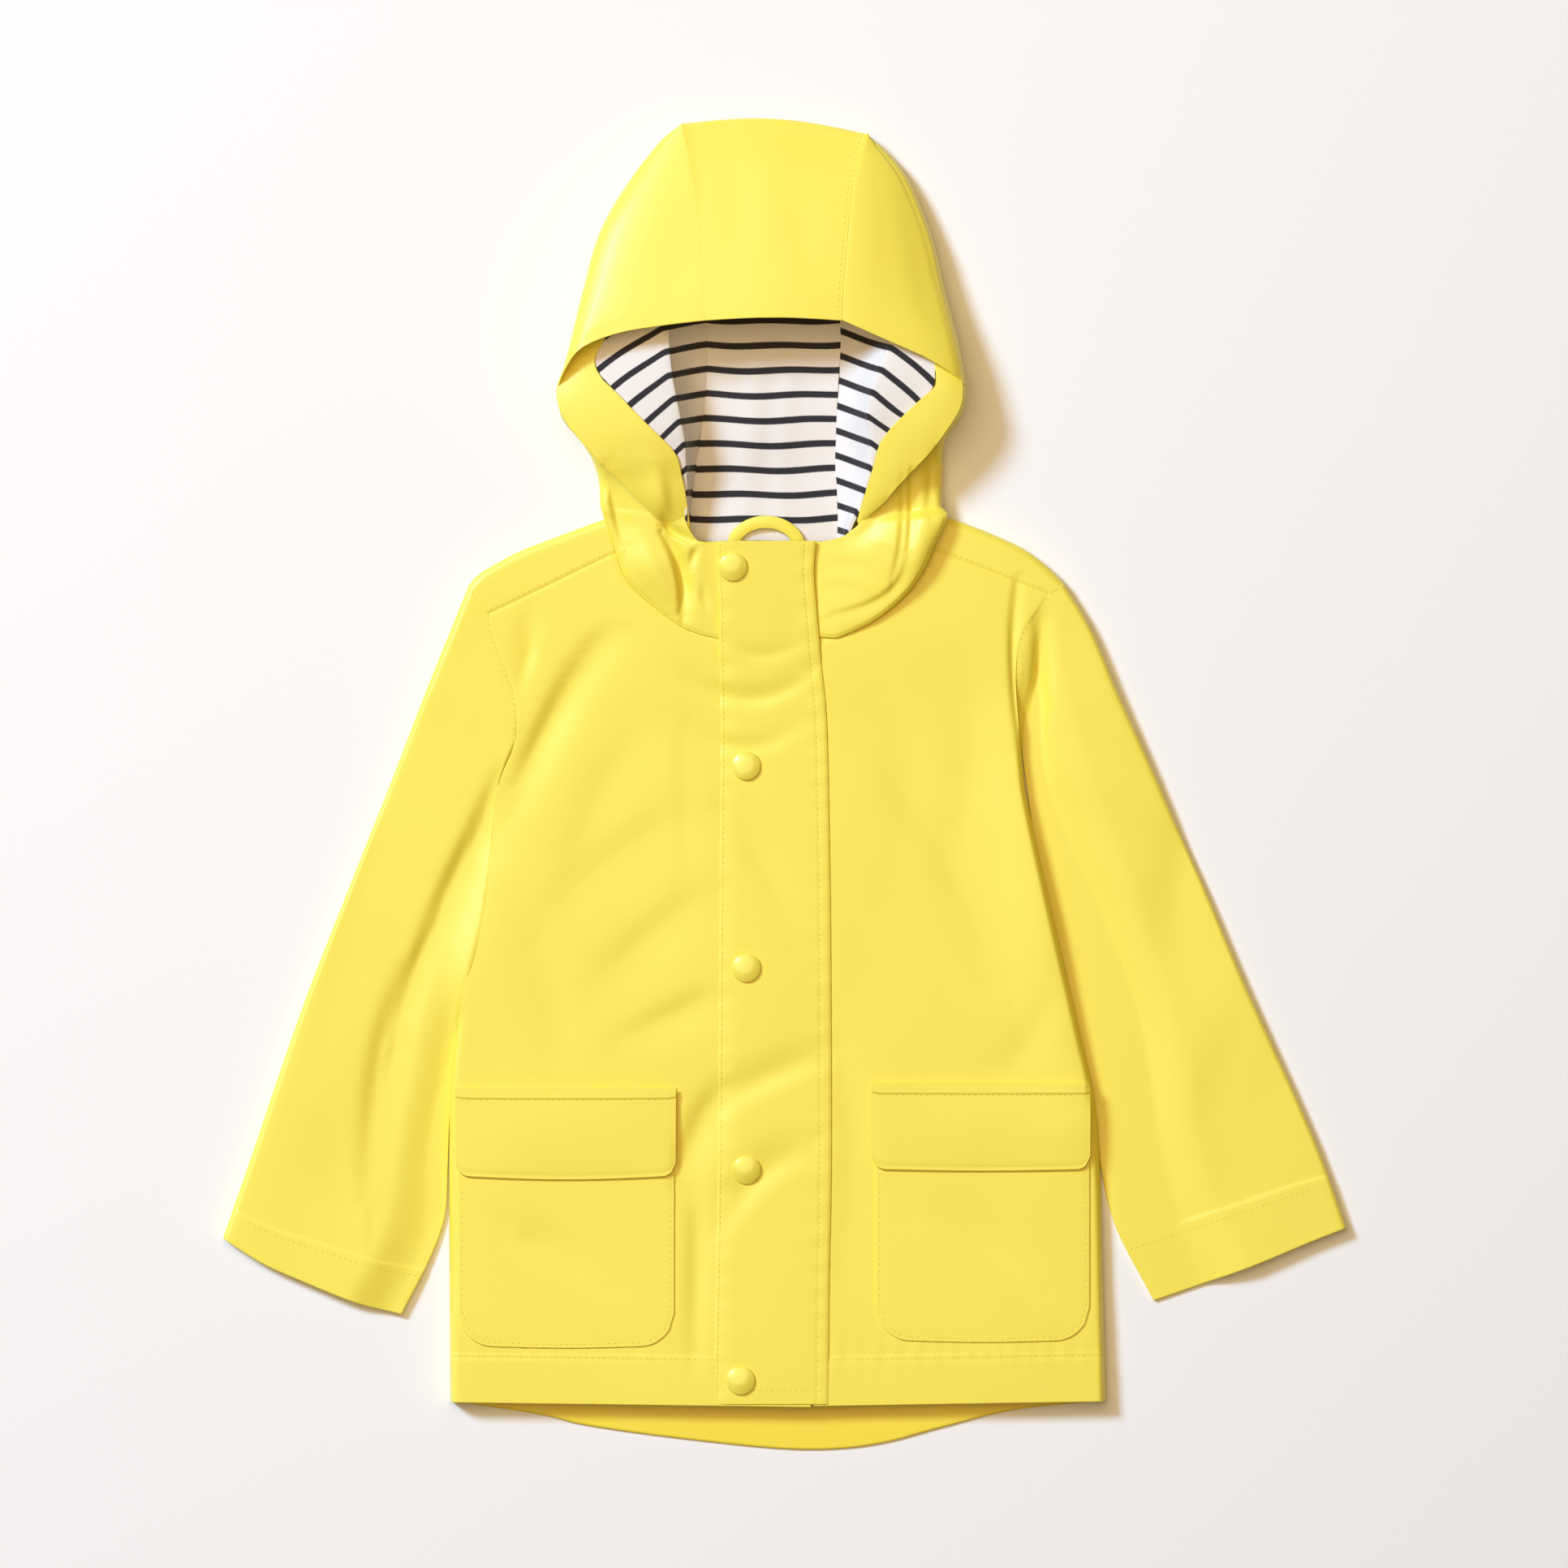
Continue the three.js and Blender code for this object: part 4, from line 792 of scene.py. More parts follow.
# Fronts: a wall from the side seam to the front edge, rolled up at the side
def frontGrid(rows, rollFrom, step=2.6):
    last = count(rows) - 1
    upper = stops(0, armholeRows, 0.18, [0], fine=0.05, reach=0.3)
    hemPlace = last - body["hemWidth"] / body["lastRow"]
    lower = stops(armholeRows, last, 0.06, [hemPlace, last], fine=0.012, reach=0.09)
    t = np.concatenate([upper[:-1], lower])
    side = pointAt(rows, t, "sideX", "sideY")
    inner = pointAt(rows, t, "innerX", "innerY")
    width = flat(inner - side)
    outerStops = np.array([0, 0.12, 0.35, 0.7, 1.1, 1.7, 2.4, 3.2, 4.2])
    innerStops = np.array([3.5, 2.2, 1.3, 0.7, 0.3, 0])
    shares = np.linspace(0, 1, int(170 / step))[1:-1]
    inset = np.concatenate([
        np.broadcast_to(outerStops, (len(t), len(outerStops))),
        mix(outerStops[-1], (width - innerStops[0])[:, None], shares[None, :]),
        width[:, None] - innerStops,
    ], axis=1)
    place = side[:, None] + (inner - side)[:, None] * (inset / width[:, None])[..., None]
    x, y = place[..., 0], place[..., 1]
    top = coatTop(x, y)
    fromHem = y - y[-1:]
    top += body["hemStep"] * (1 - ease(body["hemWidth"] - 0.6, body["hemWidth"] + 0.6, fromHem))
    top -= body["hemGroove"] * bump(fromHem - body["hemWidth"] + body["hemStitch"], 1.0)
    top += body["pucker"] * np.sin(x * 2 * math.pi / body["puckerPitch"] + 2 * np.sin(x / 17)) * bump(
        fromHem - body["hemWidth"], 9)
    shoulder = distanceTo(np.stack([place[0, 0], place[0, -1]]), x, y)
    top -= body["seamDip"] * bump(shoulder, 1.0)
    upperPart = place[t <= armholeRows + 0.01][::3]
    neck = distanceTo(upperPart[:, -1], x, y)
    top -= body["seamDip"] * bump(neck, 1.1) * (y > 60)
    ripple = np.sin((x + y) * 2 * math.pi / body["neckPitch"] + np.sin(x / 9))
    top += body["pucker"] * ripple * bump(neck, 7) * (y > 60)
    top -= 0.5 * body["seamDip"] * bump(distanceTo(upperPart[:, 0], x, y), 0.8)
    rolled = ease(*rollFrom, side[:, 1])[:, None]
    roll = np.sqrt(1 - (1 - np.clip(inset / body["sideRoll"], 0, 1)) ** 2)
    height = mix(top, mix(body["sideSeam"], top, roll), rolled)
    return withHeight(place, height)


fronts = {"left": frontGrid(leftFront, (-116, -136)), "right": frontGrid(rightFront, (30, 4))}
clothPiece("frontLeft", "front_left", [fronts["left"]])
clothPiece("frontRight", "front_right", [fronts["right"]])
print("fronts laid")

# The back: a flat panel on the table, carried over each shoulder to the forward seam
foldAngles = np.linspace(0, math.pi, 13)
tail = {"lift": 0.3, "liftWidth": 30.0, "hemFrom": 16.4, "hemTo": 17.6, "hemStep": 0.3, "armholeShare": 0.24}


def shoulderGrid(outline, rows):
    seamStart = np.array([rows["innerX"][0], rows["innerY"][0]])
    seamEnd = np.array([rows["sideX"][0], rows["sideY"][0]])
    s = np.linspace(0, 1, 40)
    fold = curveAt(outline, s)
    seam = mix(seamStart, seamEnd, s[:, None])
    inward = unit(seam - fold)
    radius = coatTop(fold[:, 0], fold[:, 1]) / 2
    reach = flat(seam - fold) - seamGap
    columns = []
    for part in (1, 0.975, 0.94, 0.88, 0.78, 0.6, 0.4, 0.2):
        place = fold + inward * mix(radius, reach, part)[:, None]
        height = mix(2 * radius, coatTop(place[:, 0], place[:, 1]), part)
        height -= body["seamDip"] * bump((1 - part) * reach, 1.0)
        columns.append(withHeight(place, height))
    for angle in foldAngles:
        place = fold + inward * (radius * (1 - math.sin(angle)))[:, None]
        columns.append(withHeight(place, radius * (1 + math.cos(angle))))
    foot = fold + inward * (radius + 12)[:, None]
    columns.append(withHeight(foot, 0.03))
    return np.stack(columns, axis=1)


def backGrid():
    armholeShare = tail["armholeShare"]

    def edge(rows, inward):
        def place(v):
            below = (v - armholeShare) / (1 - armholeShare)
            t = np.where(
                v < armholeShare,
                v / armholeShare * armholeRows,
                mix(armholeRows, count(rows) - 1, below),
            )
            found = pointAt(rows, t, "sideX", "sideY")
            found[..., 0] += inward * seamGap
            return found
        return place

    v = stops(0, 1, 0.012, [1], fine=0.002, reach=0.02)
    u = stops(0, 1, 0.012, [0, 1], fine=0.002, reach=0.01)
    v, u = np.meshgrid(v, u, indexing="ij")
    plan = patch(
        lambda k: curveAt(backTop, k),
        lambda k: curveAt(backHem, k),
        edge(leftFront, 1),
        edge(rightFront, -1),
        u,
        v,
    )
    x, y = plan[..., 0], plan[..., 1]
    fromHem = y - y[-1:]
    lifted = (1 - ease(0, tail["liftWidth"], fromHem)) * ease(0, 0.18, u) * ease(1, 0.82, u)
    height = clothThickness + tail["lift"] * lifted
    height = height + tail["hemStep"] * (1 - ease(tail["hemFrom"], tail["hemTo"], fromHem))
    return withHeight(plan, height)


# The tail shows the cloth's wrong side. Its deeper tone is painted shade that stands in for the shade under
# the front hem, while the shoulders keep the coated side's colour
backSheet = backGrid()
backShells = [
    shellParts(backSheet, clothThickness),
    shellParts(shoulderGrid(leftShoulder, leftFront), clothThickness),
    shellParts(shoulderGrid(rightShoulder, rightFront), clothThickness),
]
paintedTailShade = np.concatenate([np.full(len(shell[0]), tone) for shell, tone in zip(backShells, (1, 0, 0))])
piece = makePiece("backPanel", backShells, coatCloth, "back", paintedTailShade, "paintedTailShade")
print("back laid")


# Sleeves: a flattened tube of rings, open at the armhole and the cuff
sleeve = {
    "armholeGap": -0.25, "over": 0.65, "under": 0.7, "step": 0.05, "flatter": 2.2, "lowest": 1.9,
    "wave": 0.35, "cuffWidth": 27.0, "cuffStep": 0.4, "cuffShare": 0.918, "cuffStitch": 0.93,
    "nearCuff": 330.0, "nearArmhole": 300.0,  # length of the whole sleeve as each end's rows are spaced
}
# Where each sleeve falls beside the body: between which heights, how deep and how far out
besideBody = {
    "left": {"from": (-100, -140), "depth": 6.0, "reach": (30.0, 30.0), "floor": 0.1},
    "right": {"from": (40, 2), "depth": 9.2, "reach": (66.0, 54.0), "floor": 0.16},
}


def sleeveGrid(rows, armhole, cuffLine, outward, beside):
    last = count(rows) - 1

    def plan(u, v):
        return patch(
            lambda k: curveAt(armhole, k),
            lambda k: curveAt(cuffLine, k),
            lambda k: pointAt(rows, k * last, "outerX", "outerY"),
            lambda k: pointAt(rows, k * last, "innerX", "innerY"),
            u,
            v,
        )

    v = stops(0, 1, 0.011, [0, 1, sleeve["cuffShare"]], fine=0.003, reach=0.022)
    zero, one = np.zeros_like(v), np.ones_like(v)
    width = flat(plan(zero, v) - plan(one, v))

    inner = plan(one, v)
    fallen = ease(*beside["from"], inner[:, 1])

    def topAt(place, v):
        x, y = place[..., 0], place[..., 1]
        fromBody = flat(place - inner)
        own = foldsAt(sleeveFolds, x, y) - waves(x, y, sleeve["wave"]) * ease(0, 0.1, v)
        top = coatTop(x, y) - own * ease(0, 7, fromBody)
        top = top - sleeve["flatter"] * ease(0.05, 0.4, v) * ease(-4, 26, fromBody)
        reach = mix(beside["reach"][0], beside["reach"][1], v)
        top = top - fallen * beside["depth"] * (1 - ease(beside["floor"], 1.0, fromBody / reach))
        fromCuff = (1 - v) * sleeve["nearCuff"]
        cuff = 1 - ease(sleeve["cuffWidth"] - 1, sleeve["cuffWidth"] + 1, fromCuff)
        top = top + sleeve["cuffStep"] * cuff
        top = top - 0.5 * body["seamDip"] * bump(v * sleeve["nearArmhole"], 0.9)
        top = top - sleeve["step"] * (1 - fallen) * (1 - ease(0, 1.5, fromBody))
        return np.maximum(sleeve["lowest"], top)

    outerRadius = topAt(plan(zero, v), v) / 2
    innerRadius = topAt(plan(one, v), v) / 2
    outerShare = outerRadius / width
    innerShare = mix(0.3, innerRadius, fallen * 0.5) / width
    columns = []

    def add(u, z):
        place = plan(np.broadcast_to(u, v.shape).astype(float), v)
        over = sleeve["armholeGap"] - mix(sleeve["over"], sleeve["under"], fallen) * ease(0, 0.02, v) * u
        place = place + over[:, None] * np.array([outward, 0])
        columns.append(withHeight(place, z))

    for s in stops(0, 1, 0.02, [1], fine=0.003, reach=0.02):
        u = mix(outerShare, 1 - innerShare, s)
        add(u, topAt(plan(u, v), v))
    angles = np.linspace(0, math.pi, 12)[1:-1]
    for angle in angles:
        add(1 - innerShare * (1 - math.sin(angle)), innerRadius * (1 + math.cos(angle)))
    for s in np.linspace(0, 1, 20):
        add(mix(1 - innerShare, outerShare, s), np.zeros_like(v))
    for angle in angles[::-1]:
        add(outerShare * (1 - math.sin(angle)), outerRadius * (1 + math.cos(angle)))
    return np.stack(columns, axis=1)


sleeves = {
    "left": sleeveGrid(leftSleeve, leftArmhole, leftCuff, -1, besideBody["left"]),
    "right": sleeveGrid(rightSleeve, rightArmhole, rightCuff, 1, besideBody["right"]),
}
for side, grid in sleeves.items():
    clothPiece(f"sleeve{side.title()}", f"sleeve_{side}", [grid], ring=True)
print("sleeves laid")


hood = {
    "roll": 5.0, "crown": 0.7, "corner": 0.045, "cornerWidth": 0.12, "ridgeGap": 3.0, "centreGap": 0.2,
    "seamGap": {"left": 0.0, "right": 0.25}, "seamDip": {"left": 0.0, "right": 0.12},
}


# The hood's outer fold, from its top down to the table round an upright half ellipse
def foldDown(fold, height, inward, turns=12):
    columns = []
    for angle in np.linspace(0, math.pi, turns + 1):
        place = fold + inward * (hood["roll"] * (1 - math.sin(angle)))
        columns.append(withHeight(place, height / 2 * (1 + math.cos(angle))))
    return columns


def seamStep(side, v):
    return pointAt(hoodUpper[side], np.asarray(v) * 5, "seamX", "seamY")


def backSeamAt(side, y):
    heights = centreBack[f"{side}Y"][::-1]
    return np.stack([np.interp(y, heights, centreBack[f"{side}X"][::-1]), np.asarray(y)], axis=-1)


hoodFolds = table(foldNames, [
    [-60, 245, -52, 280, -50, 312, 0.4, 9, 0],
    [62, 300, 70, 262, 76, 236, 0.8, 7, 0.2],
    [-98, 250, -90, 226, -84, 214, 0.6, 8, 0],
    [10, 322, 8, 292, 12, 262, 0.35, 10, 0],
    [-30, 326, -24, 300, -28, 268, 0.4, 9, 0],
])
upperSteps = stops(0, 1, 0.02, [0, 1], fine=0.004, reach=0.02)


def hoodUpperGrid(side):
    outward = outwards[side]
    upper = hoodUpper[side]
    last = count(upper) - 1
    seamShift = np.array([outward * hood["seamGap"][side], 0])
    v = upperSteps
    rounding = 1 - np.clip(v / hood["corner"], 0, 1)
    opened = mix(hood["cornerWidth"], 1, np.sqrt(1 - rounding ** 2))

    topSeam, topFold = pointAt(upper, 0, "seamX", "seamY"), pointAt(upper, 0, "foldX", "foldY")

    def plan(u):
        return patch(
            lambda k: mix(topSeam, topFold, k[..., None]),
            lambda k: curveAt(brim[side], k),
            lambda k: seamStep(side, k),
            lambda k: pointAt(upper, k * last, "foldX", "foldY"),
            np.broadcast_to(u, v.shape) * opened,
            v,
        )

    fold, seam = plan(1), plan(0)
    width = flat(fold - seam)
    rollShare = np.minimum(0.45, hood["roll"] / width)
    foldZ, seamZ = along(upper, "foldZ", v * last), along(upper, "seamZ", v * last)
    columns = []
    for s in stops(0, 1, 0.06, [0], fine=0.012, reach=0.05)[:-1]:
        u = s * (1 - rollShare)
        place = plan(u)
        height = mix(seamZ, foldZ, s ** 1.7) + hood["crown"] * math.sin(math.pi * s) * s * v
        height = height - foldsAt(hoodFolds, place[:, 0], place[:, 1])
        height = height - hood["seamDip"][side] * bump(u * width, 0.8)
        place = place + seamShift
        columns.append(withHeight(place, height))
    inside = plan(1 - rollShare)
    inward = unit(inside - fold)
    inward = inward * np.minimum(1, 0.45 * width / hood["roll"])[:, None]
    roll = foldDown(fold, foldZ, inward)
    foot = roll[-1][:, :2]
    back = backSeamAt(side, along(upper, "backY", v * last)) + seamShift
    floor = [withHeight(mix(foot, back, s), 0.0) for s in (0.25, 0.5, 0.75, 1)]
    return np.stack([*columns, *roll, *floor], axis=1)


def napeGrid(side):
    outward = outwards[side]
    lower = hoodLower[side]
    shift = np.array([outward * hood["seamGap"][side], 0])
    backY = lower["backY"][-1]
    seamX = backSeamAt(side, backY)[0] + shift[0]
    u = np.linspace(0, 1, 12)
    startX = mix(lower["foldX"][-1] - outward * 6, seamX, u)
    start = np.stack([startX, np.full_like(u, lower["foldY"][-1] - 0.3)], axis=-1)
    end = curveAt(napes[side], u) + shift * u[:, None]
    rows = [mix(start, end, v) for v in np.linspace(0, 1, 8)]
    return withHeight(np.stack(rows, axis=0), clothThickness + 0.02)


# Creases of the collar and of the hood's lower sides
collarFolds = table(foldNames, [
    [-92.5, 162, -88, 142, -84, 124, 2.4, 4.5, 0.5],
    [-63, 137, -58.5, 130, -48.5, 125, 2.6, 2.2, 0.3],
    [-63.5, 129, -54.5, 109, -53.5, 88, 4.6, 3.4, 0.45],
    [-66, 165, -63.5, 148, -62, 137, -2.0, 5, -0.4],
    [-46.3, 121, -47.5, 117, -48.5, 111, 1.5, 2, 0],
    [-43, 102, -42, 96, -40, 90, 0.9, 2, 0],
    [-74, 128, -68, 112, -58, 92, -0.9, 5, 0],
    [-84, 120, -76, 104, -60, 88, 0.9, 5, 0.2],
    [64.3, 158, 64.8, 139, 63.3, 120, 1.9, 2.6, 0.5],
    [60, 156, 60, 128, 55, 104, 1.3, 3.4, 0.5],
    [63, 120, 54, 99, 25, 87, 1.3, 3.4, 0.5],
    [50, 143, 43, 131, 32, 126, 1.0, 4, 0.3],
    [20, 111, 36, 112, 48, 104, 0.35, 5, -0.3],
    [20, 99, 32, 101, 46, 94, 0.35, 5, -0.3],
    [76, 170, 75, 155, 74, 140, 1.4, 4, 0.4],
])


# The hood's lower side and its collar as one sheet: over the top, down the outer fold and in on the table.
# Past the neck its outer edge is tucked under the body's seam instead.
flankTuck = {"radius": 0.6, "drop": 2.0, "floor": 1.5, "starts": -1.0, "ends": 1.5}


def flankGrid(side):
    outward = outwards[side]
    lower, rows, collarRows = hoodLower[side], frontRows[side], collar[side]
    t = np.linspace(0, count(lower) - 1, 90)
    fold, ridge = pointAt(lower, t, "foldX", "foldY"), pointAt(lower, t, "ridgeX", "ridgeY")
    back = backSeamAt(side, along(lower, "backY", t)) + np.array([outward * hood["seamGap"][side], 0])
    foldZ, ridgeZ = along(lower, "foldZ", t), along(lower, "ridgeZ", t)
    k = np.concatenate([np.linspace(0, 2, 30)[1:-1], np.linspace(2, 2 + armholeRows, 130)])
    neckLine = pointAt(rows, k - 2, "innerX", "innerY")
    seam = np.where((k < 2)[:, None], pointAt(collarStart[side], k), neckLine)
    top = pointAt(collarRows, k, "topX", "topY")
    away = unit(top - seam)
    seam = seam + away * np.where(k < 1.9, seamGap * k * 0.5, seamGap)[:, None]
    seamTop = coatTop(seam[:, 0], seam[:, 1])
    lift = along(collarRows, "lift", k)
    seamZ = np.where(k < 2, mix(foldZ[-1], seamTop, ease(0, 2, k)), seamTop) + lift * ease(0, 1, k)
    tucked = ease(flankTuck["starts"], flankTuck["ends"], np.concatenate([t - t[-1], k]))
    outer, inner = np.concatenate([fold, seam]), np.concatenate([ridge, top])
    outerZ = np.concatenate([foldZ, seamZ])
    innerZ = np.concatenate([ridgeZ, along(collarRows, "topZ", k)])
    swell = np.concatenate([np.zeros_like(t), along(collarRows, "swell", k)])
    inward = unit(inner - outer)
    radius = mix(hood["roll"], flankTuck["radius"], tucked)
    gap = mix(hood["ridgeGap"], 0, ease(-0.5, 1.5, np.concatenate([t - t[-1], k])))
    start, inner = outer + inward * radius[:, None], inner - inward * gap[:, None]
    drop = mix(outerZ, flankTuck["drop"] + np.concatenate([np.zeros_like(t), lift]), tucked)
    backEnd = np.concatenate([back, np.broadcast_to(back[-1], seam.shape)])
    columns = []
    for s in stops(0, 1, 0.02, [1], fine=0.008, reach=0.03):
        place = mix(inner, start, s)
        height = mix(innerZ, outerZ, s) + swell * math.sin(math.pi * (1 - s) ** 0.55)
        height = height - foldsAt(collarFolds, place[:, 0], place[:, 1])
        height = height - tucked * body["seamDip"] * bump((1 - s) * flat(inner - start), 0.8)
        columns.append(withHeight(place, height))
    edgeZ = columns[-1][:, 2]
    for angle in np.linspace(0, math.pi, 13)[1:]:
        place = outer + inward * (radius * (1 - math.sin(angle)))[:, None]
        columns.append(withHeight(place, edgeZ - drop / 2 * (1 - math.cos(angle))))
    foot, low = columns[-1][:, :2], columns[-1][:, 2]
    hidden = mix(backEnd, foot + inward * flankTuck["floor"], tucked[:, None])
    endPlace = np.where(tucked[:, None] > 0, hidden, backEnd)
    for share in (0.25, 0.5, 0.75, 1):
        columns.append(withHeight(mix(foot, endPlace, share), low))
    return np.stack(columns, axis=1)


for side in outwards:
    grids = [hoodUpperGrid(side), flankGrid(side), napeGrid(side)]
    clothPiece(f"hood{side.title()}", f"hood_{side}", grids)


crown = {"brimBow": 1.5, "rise": 0.3, "bulge": 5.2, "height": 9.0, "edgeFold": 0.8, "fold": 3.7}


def crownFold(u):
    return crown["edgeFold"] + crown["fold"] * np.sqrt(np.clip(np.sin(math.pi * u), 0, 1))


# The hood's centre strip, from the brim over the crown fold and down the back to the nape
def hoodCentreGrid():
    u = stops(0, 1, 0.045, [0, 1], fine=0.01, reach=0.035)
    rows = []
    for v in upperSteps[::-1][:-1]:
        left, right = seamStep("left", v), seamStep("right", v)
        right = right - [hood["centreGap"], 0]
        z = mix(along(hoodUpper["left"], "seamZ", v * 5), along(hoodUpper["right"], "seamZ", v * 5), u)
        bow = np.sin(math.pi * u)
        x = mix(left[0], right[0], u)
        y = mix(left[1], right[1], u) + crown["brimBow"] * bow * v
        y = y + (crown["rise"] + crown["bulge"] * bow - crownFold(u)) * (1 - v)
        width = right[0] - left[0]
        z = z + 1.5 * bow * v - foldsAt(hoodFolds, x, y)
        z = z - hood["seamDip"]["right"] * bump((1 - u) * width, 0.8)
        rows.append(np.stack([x, y, z], axis=-1))
    left, right = seamStep("left", 0), seamStep("right", 0)
    for angle in np.linspace(0, math.pi, 13):
        y = mix(left[1], right[1], u) + crown["rise"] + crown["bulge"] * np.sin(math.pi * u)
        y = y - crownFold(u) * (1 - math.sin(angle))
        x = mix(left[0] + seamGap, right[0] - seamGap, u)
        rows.append(np.stack([x, y, np.full_like(u, crown["height"] / 2 * (1 + math.cos(angle)))], axis=-1))
    for t in np.linspace(0, count(centreBack) - 1, 40)[1:]:
        left = pointAt(centreBack, t, "leftX", "leftY")
        right = pointAt(centreBack, t, "rightX", "rightY")
        place = mix(left, right, u[:, None])
        place[:, 0] += seamGap * (1 - 2 * u)
        rows.append(withHeight(place, 0.0))
    return np.stack(rows, axis=0)


clothPiece("hoodCentre", "hood_centre", [hoodCentreGrid()])
print("hood raised")

# The striped lining: a centre strip on the hood's back and two sides that climb to the ridges
liningFloor = 1.2 + layerGap


def makeLining(name, grid, stripePlace, node):
    place = supported(stripePlace)
    stripes = np.concatenate([place.ravel(), place.ravel(), borderOf(place)])
    made = makePiece(name, [shellParts(grid, liningThickness)], liningCloth, node, stripes)


def liningCentreGrid():
    t = np.linspace(0, count(liningCentre) - 1, 90)[:, None]
    u = np.linspace(0, 1, 40)[None, :]
    x = mix(along(liningCentre, "leftX", t), along(liningCentre, "rightX", t) + 0.4, u)
    y = np.broadcast_to(along(liningCentre, "y", t), x.shape)
    z = liningFloor + liningThickness + 0.9 * (0.5 + 0.5 * np.sin(3 * t + 2.5 * u))
    z = z + 0.8 * bump(u - 0.38, 0.1) + 0.5 * bump(u - 0.62, 0.08)
    sag = 0.8 * np.sin(math.pi * u) + 0.5 * np.sin(x / 8 + y / 20)
    return np.stack([x, y, z], axis=-1), y + sag


grid, places = liningCentreGrid()
makeLining("liningCentre", grid, places, "lining_centre")


# A smooth line through the points, s from 0 to 1
def smoothRoute(points, s):
    last = len(points) - 1
    i = min(int(s * last), last - 1)
    wide = [2 * points[0] - points[1], *points, 2 * points[-1] - points[-2]]
    return smooth(*wide[i:i + 4], s * last - i)


stripeSlopes = {
    "left": {"wall": -0.21, "flapTop": 0.58, "flapLow": 0.95, "shift": 0.0},
    "right": {"wall": 0.36, "flapTop": 0.75, "flapLow": 0.75, "shift": 6.3},
}


def liningSideGrid(side):
    outward = outwards[side]
    rows = sideLining[side]
    slopes = stripeSlopes[side]
    t = np.linspace(0, count(rows) - 1, 70)
    back = pointAt(rows, t, "backX", "backY")
    ridge = pointAt(rows, t, "ridgeX", "ridgeY")
    edge = pointAt(rows, t, "edgeX", "edgeY")
    ridgeZ, edgeZ = along(rows, "ridgeZ", t), along(rows, "edgeZ", t)
    foot = np.full_like(t, liningFloor + liningThickness)
    start = withHeight(back - np.array([outward * 0.2, 0]), foot)
    crest = withHeight(ridge, ridgeZ)
    points = [start]
    for plan, rise in ((0.45, 0.3), (0.86, 0.84)):
        points.append(np.stack([
            mix(start[:, 0], crest[:, 0], plan), mix(start[:, 1], crest[:, 1], plan), mix(foot, ridgeZ, rise),
        ], axis=-1))
    points += [crest, withHeight(edge, edgeZ)]
    columns, stripeColumns = [], []
    share = t / t[-1]
    for s in np.linspace(0, 1, 40)[::-1]:
        place = smoothRoute(points, s)
        place[:, 2] += 0.35 * np.sin(place[:, 1] / 5 + s * 9) * math.sin(math.pi * min(1, s * 1.2)) ** 2
        columns.append(place)
        wallX = np.where(outward * place[:, 0] < outward * ridge[:, 0], place[:, 0], ridge[:, 0])
        beyond = np.maximum(0, outward * (place[:, 0] - ridge[:, 0]))
        flap = mix(slopes["flapTop"], slopes["flapLow"], share)
        y = place[:, 1] + slopes["wall"] * (wallX - back[:, 0])
        y = y + flap * beyond + slopes["shift"] + 0.4 * np.sin(place[:, 0] / 6)
        stripeColumns.append(y)
    return np.stack(columns, axis=1), np.stack(stripeColumns, axis=1)


for side in outwards:
    grid, places = liningSideGrid(side)
    makeLining(f"lining{side.title()}", grid, places, f"lining_{side}")


def facingGrid(side):
    rows = facing[side]
    t = np.linspace(0, count(rows) - 1, 90)
    edge, inner = pointAt(rows, t, "edgeX", "edgeY"), pointAt(rows, t, "innerX", "innerY")
    edgeZ, innerZ = along(rows, "edgeZ", t), along(rows, "innerZ", t)
    columns = []
    for s in stops(0, 1, 0.07, [0, 1], fine=0.02, reach=0.08):
        place = mix(edge, inner, s)
        height = mix(edgeZ, innerZ, s) + 0.5 * math.sin(math.pi * s)
        height = height - foldsAt(collarFolds, place[:, 0], place[:, 1])
        columns.append(withHeight(place, height))
    return np.stack(columns, axis=1)


for side in outwards:
    clothPiece(f"facing{side.title()}", f"facing_{side}", [facingGrid(side)])


# The loop at the nape: a flat tape bent to an arch
loop = {"x": -10, "y": 122, "reachX": 20, "reachY": 16, "tape": 6, "lift": 3.0, "arch": 1.5, "thickness": 1.0}


def loopGrid():
    angles = np.linspace(0, math.pi, 48)
    columns = []
    for s in np.linspace(1, 0, 9):
        columns.append(np.stack([
            loop["x"] - (loop["reachX"] - loop["tape"] * s) * np.cos(angles),
            loop["y"] + (loop["reachY"] - loop["tape"] * s) * np.sin(angles),
            liningFloor + loop["lift"] + loop["arch"] * np.sin(angles) + 0.5 * math.sin(math.pi * s),
        ], axis=-1))
    return np.stack(columns, axis=1)


clothPiece(
    "hangingLoop", "hanging_loop", [loopGrid()], loop["thickness"],
)
print("lining set in")

# Pieces that lie on the fronts
neck = {"y": 71, "below": 12, "above": 8, "collarTop": 124.5, "collarRise": 13.6, "collarLift": 0.8}
placketLift = 1.0


def frontTop(x, y):
    x, y = np.asarray(x, dtype=float), np.asarray(y, dtype=float)
    share = np.clip((y - neck["y"]) / (neck["collarTop"] - neck["y"]), 0, 1)
    high = mix(coatTop(x, np.minimum(y, neck["y"])), neck["collarRise"], share)
    high = high + neck["collarLift"] * ease(neck["y"] - neck["below"], neck["y"] + neck["above"], y)
    return np.where(y < neck["y"] - neck["below"], coatTop(x, y), high)


placket = {
    "width": 55, "thickness": 1.3, "leftStitch": 1.9, "rightStitch": 5.3, "bottomStitch": 7.0, "groove": 0.12,
    "pucker": 0.13, "leftDrop": 0.6, "edgeDrop": 0.35,
}


